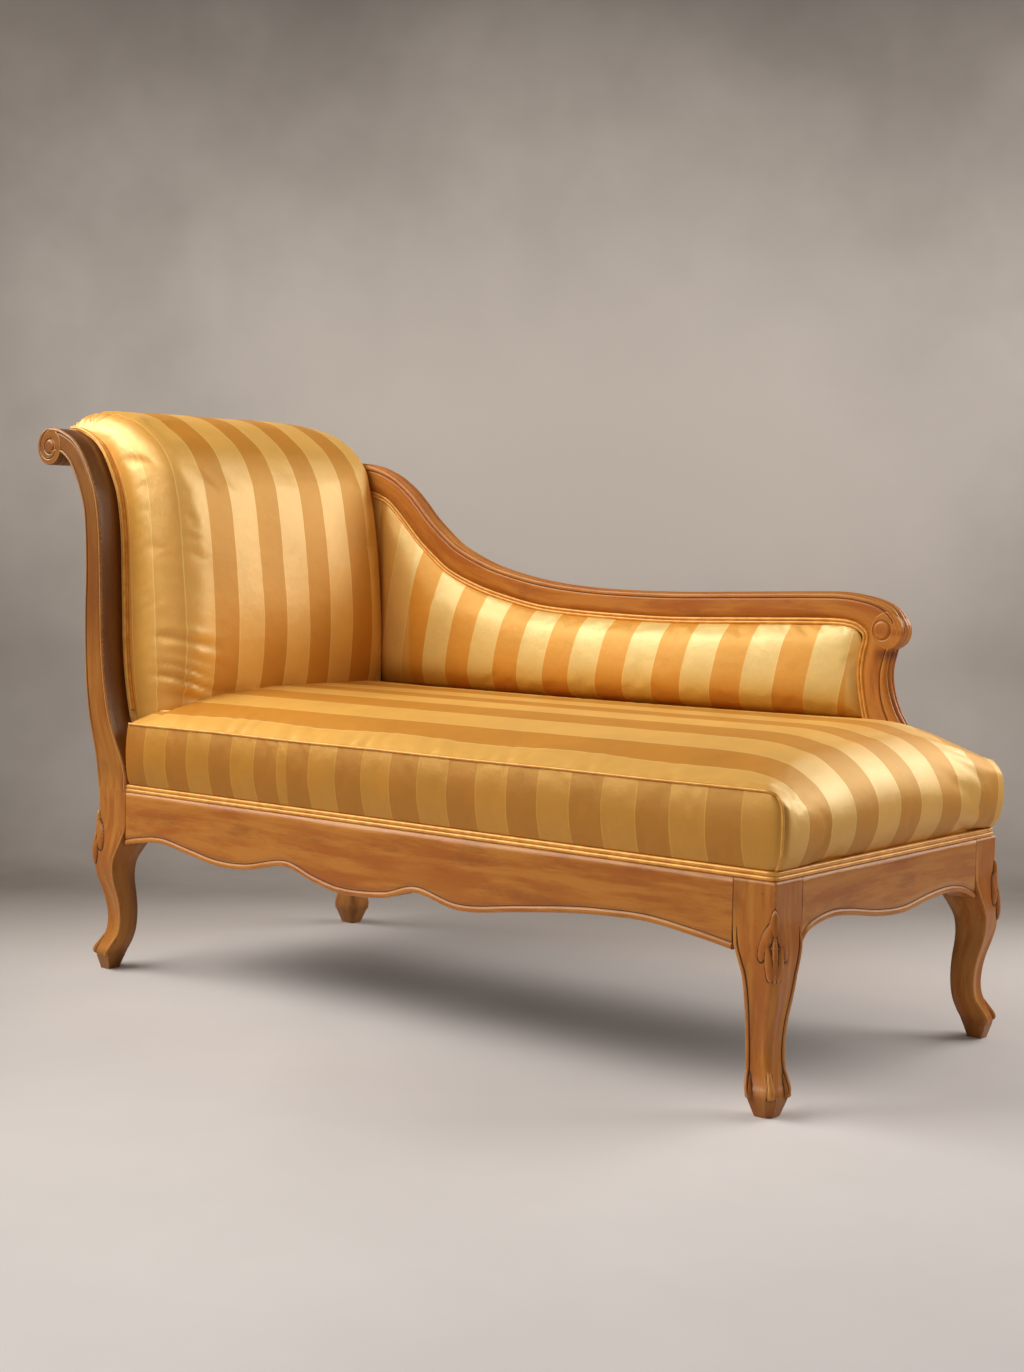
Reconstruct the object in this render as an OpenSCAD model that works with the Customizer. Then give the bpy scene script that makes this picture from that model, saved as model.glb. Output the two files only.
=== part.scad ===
// Recamier: a day couch with one scrolled head and a low swept side along its back.
// The head is at -X, the foot at +X, the open side at -Y and the closed side at +Y.
// The origin is on the floor under the middle of the whole couch.

/* [Frame] */
// Length over the legs, head to foot
frame_l = 1472; // [1380:1:1600]
// Width over the legs, open side to closed side
frame_w = 674; // [640:1:740]
// Height of the seat rails' top edge above the floor
rail_h = 334; // [320:1:360]
// Thickness of the seat rails
rail_t = 44; // [38:1:48]
// Greatest depth of the shaped rails below their top edge
apron_d = 120; // [108:1:126]
// Square of the legs where the rails meet them
leg_sq = 70; // [66:1:78]
// Length of the head posts' block along the couch
block_l = 77; // [72:1:86]
// Length of the tenons on the seat rails
tenon_l = 32; // [24:1:34]
// Thickness of the tenons on the seat rails
tenon_t = 12; // [8:1:14]
// Height of the tenons on the seat rails
tenon_h = 55; // [40:1:60]
// Height of the bead along the rails' lower edge
bead_h = 11; // [8:0.5:14]
// How far that bead stands proud of the face
bead_out = 2.2; // [1.5:0.1:3]

/* [Head] */
// How far the head leans back past the legs, to the back of its scroll
lean = 182; // [160:1:200]
// Rise of the head posts above the seat rails
post_rise = 668; // [630:1:700]
// Width of the head stiles, seen from the open side
stile_w = 44; // [40:1:48]
// Thickness of the head stiles, across the couch
stile_t = 48; // [44:1:52]
// Radius of the scrolls that end the head stiles
scroll_r = 34.5; // [32:0.5:37]
// Radius of the round rail inside the head's scroll
top_rail_r = 24; // [21:0.5:25]
// Thickness of the hidden rails in the head and the side
inner_rail_t = 30; // [24:1:34]
// Thickness of the head's stuffing in front of the stiles
head_pad = 130; // [110:1:150]
// Rounding of the head's stuffing at its two ends
head_round = 60; // [45:1:75]

/* [Side] */
// How far the side's scroll stops short of the legs' foot end
side_short = 158; // [140:1:220]
// Depth of the crest rail at its slimmest stretch
crest_w = 42; // [38:1:46]
// Thickness of the crest rail and the arm stump, across the couch
crest_t = 36; // [34:1:40]
// Radius of the scroll that ends the crest rail
crest_scroll_r = 33; // [31:0.5:35]
// Height of the joint between the crest rail and the arm stump
stump_h = 632; // [622:1:640]
// Crown of the side's stuffing
side_crown = 36; // [25:1:45]
// Height of the side's lower rail above the seat rails
side_rail_rise = 66; // [50:1:80]

/* [Seat] */
// Height of the seat's walls above the rails
seat_wall = 126; // [115:1:135]
// Crown of the seat above its walls
seat_crown = 56; // [40:1:65]
// Swell of the seat's walls
seat_swell = 14; // [8:1:16]
// Swell of the seat past the foot end of the frame
foot_out = 15; // [10:1:20]
// Radius of the seat's upright corners
seat_corner = 18; // [12:1:26]
// Room under the seat's stuffing for the springs
cavity_h = 90; // [80:1:100]
// Thickness of the stuffed edge round the springs
edge_t = 60; // [50:1:70]
// Rows of springs along the couch
spring_cols = 6; // [4:1:6]
// Rows of springs across the couch
spring_rows = 3; // [2:1:3]
// Radius of a spring's end coils
spring_r = 38; // [34:1:42]
// Radius of a spring's waist
spring_waist = 24; // [20:1:28]
// Radius of the spring wire
wire_r = 1.9; // [1.5:0.1:2.2]
// Turns in a spring
spring_turns = 4; // [3:1:4]

/* [Trim and small parts] */
// Width of the double welt
welt_w = 12; // [10:0.5:14]
// Thickness of the double welt
welt_t = 8; // [6:0.5:9]
// Radius of the piping on the seat's front edge
piping_r = 3.5; // [2.5:0.1:4.5]
// Width of the webbing
web_w = 50; // [40:1:60]
// Thickness of the webbing
web_t = 2; // [1.5:0.1:2.5]
// Thickness of the burlap and the bottom cloth
cloth_t = 1.5; // [1:0.1:2]
// Drop of the seat webbing below the rails' top edge
web_drop = 46; // [42:1:50]
// Width and height of the cleats that carry the webbing
cleat = 18; // [14:1:20]
// Reach of the corner blocks along the rails
corner_reach = 95; // [85:1:110]
// Diameter of the corner block screws
screw_d = 4.5; // [4:0.1:5.5]
// Clearance of a joint that slides together
fit_gap = 0.3; // [0.2:0.05:0.5]

/* [Hidden] */
$fn = 48;

wood = "peru";
inner_wood = "burlywood";
satin = "goldenrod";
cord = "darkgoldenrod";
jute = "tan";
steel = "slategray";

// Overrun that lets a cut pass the face it opens
over = 1;
// Depth that a tongue starts inside the piece it belongs to
root = 4;
// Swell of the knees past the legs' block
knee_out = leg_sq * 0.16;
// Back of the scrolled upholstery past the wooden scroll
roll_out = 6;
// The couch is centred between the head's roll and the seat's swell at the foot
total_l = lean + roll_out + frame_l + foot_out;
head_x = lean + roll_out - total_l / 2;
foot_x = head_x + frame_l;
half_w = frame_w / 2;
in_y = half_w - stile_t;
// Reach of the side, from the head posts' outer face to its scroll
side_l = frame_l - side_short;

function lerp(a, b, t) = a + (b - a) * t;
function unit(v) = v / norm(v);
function reversed(p) = [for (i = [len(p) - 1:-1:0]) p[i]];
function slice(p, a, b) = [for (i = [a:b]) p[i]];
function total(p) = p * [for (q = p) 1];
function middle(p) = [for (k = [0:2]) total([for (q = p) q[k]])] / len(p);

// Catmull-Rom curve through the rows of p, with n steps between two rows
function curve_point(a, b, c, d, t) =
    b + (c - a) * t / 2 + (2 * a - 5 * b + 4 * c - d) * t * t / 2
    + (3 * b - a - 3 * c + d) * t * t * t / 2;
function curve(p, n) = let (last = len(p) - 1) [
    for (i = [0:last - 1]) for (j = [0:n - 1])
        curve_point(p[max(i - 1, 0)], p[i], p[i + 1], p[min(i + 2, last)], j / n),
    p[last]];

// A line of plane points moved sideways, to the right of its direction
function line_way(p, i) = unit(p[min(i + 1, len(p) - 1)] - p[max(i - 1, 0)]);
function beside(p, d) = [for (i = [0:len(p) - 1])
    let (w = line_way(p, i)) p[i] + d * [w[1], -w[0]]];
function ribbon(p, a, b) = concat(beside(p, a), reversed(beside(p, b)));

// Solid through rings of equally many points; each ring turns right along the way.
// Its ends are closed from their middle, from two given hubs or, where the section is a
// bent band, by rungs between its two sides: point i faces point n - 1 - i
module skin(rings, rungs = false, hubs = undef) {
    n = len(rings[0]);
    m = len(rings);
    centres = is_undef(hubs) ? [middle(rings[0]), middle(rings[m - 1])] : hubs;
    sides = [for (j = [0:m - 2]) for (i = [0:n - 1])
        let (a = j * n + i, b = j * n + (i + 1) % n) [a, a + n, b + n, b]];
    e = (m - 1) * n;
    ends = rungs
        ? [for (i = [0:n / 2 - 2]) each [
            [i, i + 1, n - 2 - i], [i, n - 2 - i, n - 1 - i],
            [e + i, e + n - 2 - i, e + i + 1], [e + i, e + n - 1 - i, e + n - 2 - i]]]
        : [for (i = [0:n - 1]) each [[i, (i + 1) % n, m * n],
            [e + (i + 1) % n, e + i, m * n + 1]]];
    polyhedron(
        points = concat([for (r = rings) each r],
            rungs ? [] : centres),
        faces = concat(ends, [for (f = sides) [f[0], f[1], f[2]]],
            [for (f = sides) [f[0], f[2], f[3]]]));
}

// Upright plate: an outline in X and Z, from depth y0 to depth y1
module plate(outline, y0, y1) {
    translate([0, y1, 0])
        rotate([90, 0, 0])
            linear_extrude(y1 - y0)
                polygon(outline);
}

// Box between two corners
module box(a, b) {
    translate(a)
        cube(b - a);
}

// Tongue or its mortise: a box between two corners, grown by a clearance
module tongue(a, b, c = 0) {
    box(a - [c, c, c], b + [c, c, c]);
}

// Legs. Rows: height, outward swing, thickness, bead and arris, as shares of
// the rail height for the first and of the leg's square for the others
leg_shares = [
    [0, -0.015, 0.37, 0, 0.30],
    [0.045, 0.06, 0.50, 0, 0.34],
    [0.084, 0.115, 0.61, 0.01, 0.30],
    [0.125, 0.065, 0.63, 0.025, 0.28],
    [0.175, -0.05, 0.59, 0.03, 0.28],
    [0.225, -0.118, 0.567, 0.03, 0.28],
    [0.28, -0.138, 0.567, 0.03, 0.28],
    [0.344, -0.117, 0.59, 0.03, 0.28],
    [0.41, -0.06, 0.628, 0.03, 0.28],
    [0.479, 0.032, 0.687, 0.03, 0.28],
    [0.54, 0.095, 0.742, 0.03, 0.26],
    [0.605, 0.126, 0.81, 0.03, 0.23],
    [0.66, 0.124, 0.905, 0.03, 0.19],
    [0.72, 0.086, 0.99, 0.02, 0.14],
    [0.80, 0.015, 1, 0, 0.08],
    [0.86, 0, 1, 0, 0.06],
    [1, 0, 1, 0, 0.06]];

// Section of a leg or a stile: u runs inward from the end, v inward from the side
function leg_section(bead, arris) = [
    [0, 1], [-bead, 0.95], [-bead, 0.88], [0, 0.84],
    [0, arris], [0.29 * arris, 0.29 * arris], [arris, 0],
    [0.84, 0], [0.88, -bead], [0.95, -bead], [1, 0],
    [1 + bead / 2, 0.06], [1, 0.12], [1, 1]];

function leg_rings(size_u, size_v) = [for (r = curve(leg_shares, 2))
    let (swing = -r[1] * leg_sq, u = r[2] * size_u, v = r[2] * size_v)
    [for (s = leg_section(max(r[3], 0), r[4]))
        [swing + s[0] * u, swing + s[1] * v, r[0] * rail_h]]];

// Head stile. Back edge rows: lean and rise, as shares of the lean and the post's rise
stile_back_shares = [
    [-0.016, 0.010], [-0.027, 0.039], [-0.060, 0.096], [-0.110, 0.144],
    [-0.170, 0.203], [-0.209, 0.266], [-0.231, 0.331], [-0.242, 0.410],
    [-0.242, 0.498], [-0.231, 0.588], [-0.236, 0.678], [-0.258, 0.760],
    [-0.297, 0.799], [-0.352, 0.836], [-0.418, 0.869], [-0.489, 0.898],
    [-0.555, 0.915], [-0.632, 0.927], [-0.709, 0.930], [-0.791, 0.924]];
// Front edge where the stile grows out of its block: shares of the block and the rise
block_front_shares = [[1, 0.010], [1, 0.042], [0.896, 0.081], [0.649, 0.135]];
// Front edge above that, from the back edge, as shares of the stile's width
stile_front_shares = [
    [1.43, -0.09], [1.34, -0.05], [1.27, -0.02], [1.205, 0], [1.16, 0],
    [1.07, 0], [1.045, 0], [1.02, -0.09], [0.977, 0.27], [0.91, 0.41],
    [0.84, 0.52], [0.75, 0.61], [0.59, 0.75], [0.41, 0.84], [0.16, 1.0], [-0.09, 1.15]];

stile_back = [for (s = stile_back_shares)
    [head_x + s[0] * lean, rail_h + s[1] * post_rise]];
block_rows = len(block_front_shares);
stile_front = [for (k = [0:len(stile_back) - 1]) k < block_rows
    ? [head_x + block_front_shares[k][0] * block_l,
        rail_h + block_front_shares[k][1] * post_rise]
    : stile_back[k] + stile_w * stile_front_shares[k - block_rows]];
stile_last = len(stile_front) - 1;
scroll_c = stile_front[stile_last] - [0, scroll_r];
stile_bead = 0.03;
stile_arris = 0.16;

function stile_ring(k) = [for (s = leg_section(stile_bead, stile_arris))
    let (p = lerp(stile_back[k], stile_front[k], s[0]),
        depth = max(s[1], -stile_bead) * stile_t)
    [p[0], depth - half_w, p[1]]];

module post_body() {
    leg = [for (r = leg_rings(block_l, leg_sq)) [for (p = r)
        [head_x + p[0], p[1] - half_w, p[2]]]];
    stile = [for (k = [0:stile_last]) stile_ring(k)];
    skin(concat(leg, stile));
}

// Scroll end: a reeded drum along Y, its face at depth zero, with a raised eye
scroll_rim_shares = [[0.90, 0], [0.98, 0.05], [1, 0.12], [0.96, 0.20], [0.92, 0.24],
    [0.97, 0.30], [1, 0.42], [0.97, 0.54], [0.93, 0.58], [0.98, 0.66], [1, 0.80],
    [0.97, 0.95], [0.92, 1]];
eye_share = 0.56;
eye_groove_share = 0.1;
eye_proud_share = 0.07;

module scroll_end(r, t) {
    rim = [for (s = scroll_rim_shares) [s[0] * r, s[1] * t]];
    eye = eye_share * r;
    groove = eye_groove_share * r;
    rotate([-90, 0, 0]) {
        difference() {
            rotate_extrude()
                polygon(concat([[0, 0]], rim, [[0, t]]));
            translate([0, 0, -over])
                difference() {
                    cylinder(h = over + groove / 2, r = eye + groove);
                    translate([0, 0, -over])
                        cylinder(h = groove + 3 * over, r = eye);
                }
        }
        translate([0, 0, -eye_proud_share * r])
            cylinder(h = groove, r1 = eye * 0.9, r2 = eye);
    }
}

// Seat rails, drawn from x = 0 along X with the outer face at y = 0.
// Rows: place along the rail and depth, as shares of its length and of apron_d
front_edge_shares = [
    [0, 0.808], [0.027, 0.75], [0.073, 0.70], [0.128, 0.792], [0.185, 0.892],
    [0.242, 0.883], [0.314, 0.742], [0.367, 0.892], [0.419, 0.992], [0.489, 0.95],
    [0.543, 0.808], [0.615, 0.95], [0.707, 0.833], [0.777, 0.742], [0.831, 0.70],
    [0.889, 0.692], [0.952, 0.775], [1, 0.86]];
end_edge_shares = [
    [0, 0.80], [0.043, 0.65], [0.144, 0.567], [0.25, 0.592], [0.413, 0.70],
    [0.556, 0.733], [0.70, 0.658], [0.82, 0.625], [0.917, 0.67], [1, 0.80]];
back_edge_shares = [
    [0, 0.80], [0.03, 0.67], [0.08, 0.61], [0.5, 0.60], [0.92, 0.61], [0.97, 0.67],
    [1, 0.80]];

front_l = frame_l - block_l - leg_sq;
end_l = frame_w - 2 * leg_sq;
tenon_top = rail_h - 20 * rail_h / 334;
corner_top_drop = bead_h / 2;
corner_block_h = 2 * cleat;
screw_z = rail_h - corner_top_drop - corner_block_h / 2;
// Places of the corner screws along a rail and across a block, from the rails' inner corner
screw_along = corner_reach * 0.58;
screw_head_d = 2 * screw_d;
screw_seat = corner_reach * 0.2;
screw_in = rail_t * 0.45;

function apron_ring(l, row) = let (z = rail_h - row[1] * apron_d, x = row[0] * l) [
    [x, 0, rail_h], [x, 0, z + 1.25 * bead_h], [x, bead_out / 2, z + 1.1 * bead_h],
    [x, -bead_out / 4, z + 0.9 * bead_h], [x, -bead_out, z + 0.5 * bead_h],
    [x, -bead_out / 3, z + 0.1 * bead_h], [x, bead_out, z], [x, rail_t, z],
    [x, rail_t, rail_h]];

module apron_tenons(l, c) {
    y0 = (rail_t - tenon_t) / 2;
    for (x = [-tenon_l, l - root])
        tongue([x, y0, tenon_top - tenon_h], [x + tenon_l + root, y0 + tenon_t, tenon_top], c);
}

// end_a and end_b are the legs' sizes at the rail's two ends
module apron(l, shares, steps, end_a, end_b) {
    difference() {
        union() {
            skin([for (row = curve(shares, steps)) apron_ring(l, row)]);
            apron_tenons(l, 0);
        }
        for (x = [rail_t - end_a + screw_along, l - (rail_t - end_b + screw_along)])
            translate([x, rail_t + over, screw_z])
                rotate([90, 0, 0])
                    cylinder(h = screw_in + over, d = screw_d);
    }
}

module place_front() {
    translate([head_x + block_l, -half_w, 0])
        children();
}
module place_back() {
    mirror([0, 1, 0])
        place_front()
            children();
}
module place_foot() {
    translate([foot_x, leg_sq - half_w, 0])
        rotate([0, 0, 90])
            children();
}
module place_head() {
    translate([head_x, leg_sq - half_w, 0])
        mirror([1, 0, 0])
            rotate([0, 0, 90])
                children();
}

module front_apron() {
    color(wood)
        place_front()
            apron(front_l, front_edge_shares, 2, block_l, leg_sq);
}
module back_apron() {
    color(wood)
        difference() {
            place_back()
                apron(front_l, back_edge_shares, 2, block_l, leg_sq);
            stump_foot_tongue(fit_gap);
        }
}
module foot_apron() {
    color(wood)
        place_foot()
            apron(end_l, end_edge_shares, 2, leg_sq, leg_sq);
}
module head_apron() {
    color(wood)
        place_head()
            apron(end_l, end_edge_shares, 2, leg_sq, leg_sq);
}

// Head posts: leg, block, stile and scroll in one piece
module head_post() {
    difference() {
        union() {
            post_body();
            translate([scroll_c[0], -half_w, scroll_c[1]])
                scroll_end(scroll_r, stile_t);
        }
        place_front()
            apron_tenons(front_l, fit_gap);
        place_head()
            apron_tenons(end_l, fit_gap);
        head_top_tenons(fit_gap);
        head_lower_tenons(fit_gap);
    }
}
module head_post_front() {
    color(wood)
        head_post();
}
module head_post_back() {
    color(wood)
        difference() {
            mirror([0, 1, 0])
                head_post();
            crest_head_tongue(fit_gap);
            side_lower_head_tongue(fit_gap);
        }
}

// Foot legs
module foot_leg() {
    difference() {
        translate([foot_x, -half_w, 0])
            mirror([1, 0, 0])
                skin(leg_rings(leg_sq, leg_sq));
        place_front()
            apron_tenons(front_l, fit_gap);
        place_foot()
            apron_tenons(end_l, fit_gap);
    }
}
module foot_leg_front() {
    color(wood)
        foot_leg();
}
module foot_leg_back() {
    color(wood)
        mirror([0, 1, 0])
            foot_leg();
}

// Crest rail of the side. Top edge rows: reach, as a share of side_l, and height above
// the stump's joint, as a share of crest_rise; then the way to the lower edge, as shares
// of crest_w
crest_shares = [
    [-0.055, 0.919, 0.02, -1.21], [-0.021, 0.911, -0.17, -1.31], [0.024, 0.892, -0.19, -1.21],
    [0.068, 0.876, -0.12, -1.21], [0.097, 0.846, -0.17, -1.19], [0.123, 0.803, -0.36, -1.14],
    [0.15, 0.738, -0.57, -1.12], [0.171, 0.67, -0.67, -1.05], [0.192, 0.595, -0.64, -1.05],
    [0.223, 0.505, -0.6, -1.05], [0.253, 0.435, -0.5, -1.1], [0.303, 0.36, -0.4, -1.07],
    [0.352, 0.311, -0.26, -1.07], [0.409, 0.273, -0.14, -1.1], [0.466, 0.249, -0.02, -1.05],
    [0.536, 0.235, 0, -1.02], [0.64, 0.232, 0, -1.05], [0.753, 0.243, 0, -1.05],
    [0.852, 0.254, -0.05, -1.05], [0.909, 0.257, -0.17, -1.05], [0.944, 0.243, -0.52, -1],
    [0.968, 0.222, -0.9, -0.95], [0.986, 0.189, -1.17, -0.88], [0.996, 0.143, -1.38, -0.71],
    [1, 0.092, -1.52, -0.52]];
// Arm stump. Outer edge rows: reach back from the side's end and height, as shares of
// the crest's depth and the stump's height; then the width, as a share of the depth
stump_shares = [
    [-0.476, 1, 1.13], [-0.65, 0.886, 1.076], [-0.555, 0.775, 1.10], [-0.26, 0.661, 1.24],
    [0.193, 0.554, 1.49], [0.34, 0.48, 1.58], [0.37, 0.40, 1.60], [0.37, 0.20, 1.60],
    [0.37, 0, 1.60]];
// Section of both: depth from the face and place from the outer edge, as shares
crest_section_shares = [
    [0, 1], [0, 0.27], [0.03, 0.235], [-0.03, 0.185], [-0.03, 0.10], [0.06, 0.03],
    [0.18, 0.03], [0.23, 0.09], [0.30, 0.02], [0.42, -0.02], [0.54, 0.03], [0.58, 0.09],
    [0.68, 0.01], [0.86, 0.05], [1, 0.30], [1, 1]];

side_end_x = head_x + side_l;
stump_rise = stump_h - rail_h;
crest_rise = rail_h + post_rise - stump_h;
crest_pairs = [for (s = crest_shares)
    let (p = [head_x + s[0] * side_l, stump_h + s[1] * crest_rise])
    [p, p + [s[2], s[3]] * crest_w]];
stump_pairs = [for (s = stump_shares)
    let (p = [side_end_x + s[0] * crest_w, rail_h + s[1] * stump_rise])
    [p, p - [s[2] * crest_w, 0]]];
crest_rows = curve(concat(crest_pairs, [stump_pairs[0]]), 2);
stump_rows = curve(stump_pairs, 2);
crest_under = [for (r = crest_rows) r[1]];
stump_inner = [for (r = stump_rows) r[1]];
stump_foot = stump_pairs[len(stump_pairs) - 1];
// Where the seat and its welt stop short of the stump's beads
stump_clear = [stump_foot[0][0] + crest_w * 0.04 + fit_gap, in_y - crest_t * 0.04 - fit_gap];
crest_scroll_c = [side_end_x - crest_scroll_r, stump_h + crest_scroll_r];
// Rows of the crest rail's lower edge: its first one clear of the post, and the one
// where it starts to turn down to the stump
crest_from = 4;
crest_to = 40;

function crest_point(r, s) = let (p = lerp(r[0], r[1], s[1]))
    [p[0], in_y + s[0] * crest_t, p[1]];
function crest_ring(r) = [for (s = reversed(crest_section_shares)) crest_point(r, s)];
// Place in the section from which its whole outline is in sight
crest_hub_share = [0.5, 0.45];
module crest_skin(rows) {
    skin([for (r = rows) crest_ring(r)],
        hubs = [for (r = [rows[0], rows[len(rows) - 1]]) crest_point(r, crest_hub_share)]);
}

// The post's outline, a little full, that shapes the ends of what meets the post
post_room = [for (k = [0:stile_last]) stile_front[k] + (stile_front[k] - stile_back[k])
    * (stile_bead / 2) + [fit_gap, 0]];
module post_cut() {
    plate(concat(post_room, reversed(stile_back)), in_y - stile_t, half_w + stile_t);
}

crest_tongue_at = stile_front[14];
module crest_head_tongue(c) {
    d = stile_w / 2;
    y0 = in_y + (crest_t - tenon_t) / 2;
    tongue([crest_tongue_at[0] - d * 0.8, y0, crest_tongue_at[1] - d],
        [crest_tongue_at[0] + d, y0 + tenon_t, crest_tongue_at[1] + d * 0.1], c);
}
module stump_top_tongue(c) {
    w = crest_w * 0.8;
    x0 = stump_pairs[0][1][0] + (stump_shares[0][2] * crest_w - w) / 2;
    y0 = in_y + (crest_t - tenon_t) / 2;
    tongue([x0, y0, stump_h - root], [x0 + w, y0 + tenon_t, stump_h + crest_w * 0.6], c);
}
module stump_foot_tongue(c) {
    x1 = stump_foot[0][0] - stile_w / 3;
    x0 = stump_foot[1][0] + stile_w / 3;
    y0 = half_w - (rail_t + tenon_t) / 2;
    tongue([x0, y0, rail_h - tenon_l], [x1, y0 + tenon_t, rail_h + root], c);
}

module side_crest_rail() {
    color(wood)
        difference() {
            union() {
                difference() {
                    crest_skin(crest_rows);
                    post_cut();
                }
                crest_head_tongue(0);
                translate([crest_scroll_c[0], in_y, crest_scroll_c[1]])
                    scroll_end(crest_scroll_r, crest_t);
            }
            stump_top_tongue(fit_gap);
        }
}
module side_arm_stump() {
    color(wood)
        difference() {
            union() {
                crest_skin(stump_rows);
                stump_top_tongue(0);
                stump_foot_tongue(0);
            }
            side_lower_foot_tongue(fit_gap);
        }
}

// Hidden rails of the head. Webbing lies web_set behind the stiles' front edge
web_set = 20 * stile_w / 44;
web_from = 3;
rail_touch = stile_last - 1;
touch_way = unit(stile_front[rail_touch] - scroll_c);
function head_line(back, off) = concat(
    slice(beside(stile_front, off - back), web_from, rail_touch - 1),
    [scroll_c + (top_rail_r + off) * touch_way]);
head_web_line = head_line(web_set, 0);
head_burlap_line = head_line(web_set, web_t);
head_pad_line = head_line(web_set, web_t + cloth_t);

module head_top_tenons(c) {
    translate([scroll_c[0], -in_y - inner_rail_t / 2, scroll_c[1]])
        rotate([-90, 0, 0])
            cylinder(h = 2 * in_y + inner_rail_t, r = top_rail_r / 2 + c);
}
module head_top_rail() {
    color(inner_wood)
        union() {
            translate([scroll_c[0], -in_y, scroll_c[1]])
                rotate([-90, 0, 0])
                    cylinder(h = 2 * in_y, r = top_rail_r);
            head_top_tenons(0);
        }
}

// The lower rail's face follows the webbing line between two of its points
lower_a = head_web_line[0];
lower_b = head_web_line[1];
module head_lower_tenons(c) {
    mid = (lower_a + lower_b) / 2 - [inner_rail_t / 2, 0];
    w = inner_rail_t * 0.2;
    tongue([mid[0] - w, -in_y - inner_rail_t / 2, mid[1] - w],
        [mid[0] + w, in_y + inner_rail_t / 2, mid[1] + w], c);
}
module head_lower_rail() {
    back = [inner_rail_t, 0];
    color(inner_wood)
        union() {
            plate([lower_a, lower_b, lower_b - back, lower_a - back], -in_y, in_y);
            head_lower_tenons(0);
        }
}

// Hidden frame of the side, behind its stuffing
side_face_y = in_y + welt_t / 2;
side_pad_y = side_face_y + inner_rail_t / 3;
side_burlap_y = side_pad_y + cloth_t;
side_web_y = side_burlap_y + web_t;
side_back_t = welt_t * 0.75;
side_back_y = in_y + crest_t - side_back_t;
side_rail_z = rail_h + side_rail_rise;
side_bottom_z = side_rail_z + inner_rail_t;

post_front_table = [for (k = [0:13]) [stile_front[k][1], post_room[k][0]]];
crest_under_table = [for (i = [crest_from:2:crest_to]) crest_under[i]];
stump_inner_table = [for (p = reversed(stump_inner)) [p[1], p[0]]];
function post_front_x(z) = lookup(z, post_front_table);
function crest_under_z(x) = lookup(x, crest_under_table);
function stump_inner_x(z) = lookup(z, stump_inner_table);

side_x0 = post_front_x(side_bottom_z) + fit_gap;
side_x1 = stump_inner_x(side_bottom_z);
tongue_l = inner_rail_t * 0.5;
function side_tongue_y() = (side_face_y + side_back_y) / 2;
module side_lower_head_tongue(c) {
    x0 = post_front_x(side_rail_z) - tongue_l;
    tongue([x0, side_tongue_y() - tenon_t / 2, side_rail_z + inner_rail_t / 4],
        [side_x0 + root, side_tongue_y() + tenon_t / 2, side_bottom_z - inner_rail_t / 4], c);
}
module side_lower_foot_tongue(c) {
    tongue([side_x1 - root, side_tongue_y() - tenon_t / 2, side_rail_z + inner_rail_t / 4],
        [side_x1 + tongue_l, side_tongue_y() + tenon_t / 2, side_bottom_z - inner_rail_t / 4], c);
}
module side_lower_rail() {
    color(inner_wood)
        union() {
            difference() {
                box([head_x, side_face_y, side_rail_z], [side_x1, side_back_y, side_bottom_z]);
                post_cut();
            }
            side_lower_head_tongue(0);
            side_lower_foot_tongue(0);
        }
}

// Open field of the side between the post, the crest rail and the stump
post_edge = [for (k = [0:13]) post_room[k]];
side_field = concat(
    [for (p = post_edge) if (p[1] > side_bottom_z) p],
    [for (i = [crest_from:len(crest_under) - 2]) crest_under[i]],
    [for (p = stump_inner) if (p[1] > side_bottom_z) p],
    [[side_x1, side_bottom_z], [side_x0, side_bottom_z]]);
module field_slab(x0, x1, y0, y1) {
    intersection() {
        plate(side_field, y0, y1);
        box([x0, y0 - over, side_bottom_z - over], [x1, y1 + over, rail_h + post_rise]);
    }
}
upright_shares = [0.36, 0.68];
module side_uprights() {
    color(inner_wood)
        for (s = upright_shares)
            field_slab(head_x + s * side_l, head_x + s * side_l + inner_rail_t,
                side_web_y, side_back_y);
}
side_strips = 7;
side_pitch = (side_x1 - side_x0) / side_strips;
module side_webbing() {
    color(jute)
        for (i = [0:side_strips - 1])
            field_slab(side_x0 + (i + 0.5) * side_pitch - web_w / 2,
                side_x0 + (i + 0.5) * side_pitch + web_w / 2, side_burlap_y, side_web_y);
}
module side_burlap() {
    color(jute)
        plate(side_field, side_pad_y, side_burlap_y);
}
module side_outside_back() {
    outline = concat(post_edge,
        [for (i = [crest_from:len(crest_under) - 2]) crest_under[i]],
        stump_inner);
    color(satin)
        plate(outline, side_back_y, side_back_y + side_back_t);
}

// Corner blocks, drawn from the rails' inner corner, with the leg at the corner
module corner_block(a, b) {
    z0 = rail_h - corner_top_drop - corner_block_h;
    difference() {
        translate([0, 0, z0])
            linear_extrude(corner_block_h)
                polygon([[a, 0], [corner_reach, 0], [0, corner_reach], [0, b], [a, b]]);
        corner_screw_bores(fit_gap);
    }
}
module corner_screw(c) {
    translate([screw_along, -screw_in + c, screw_z])
        rotate([-90, 0, 0]) {
            cylinder(h = screw_in + screw_seat, d = screw_d + c);
            translate([0, 0, screw_in + screw_seat - c])
                cylinder(h = c > 0 ? corner_reach : screw_d / 2, d = screw_head_d + 2 * c);
        }
}
module corner_screw_bores(c) {
    corner_screw(c);
    mirror([1, -1, 0])
        corner_screw(c);
}
module at_corners() {
    for (sy = [0, 1])
        mirror([0, sy, 0]) {
            translate([head_x + rail_t, rail_t - half_w, 0])
                children(0);
            translate([foot_x - rail_t, rail_t - half_w, 0])
                mirror([1, 0, 0])
                    children(1);
        }
}
module corner_blocks() {
    color(inner_wood)
        at_corners() {
            corner_block(block_l - rail_t, leg_sq - rail_t);
            corner_block(leg_sq - rail_t, leg_sq - rail_t);
        }
}
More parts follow.
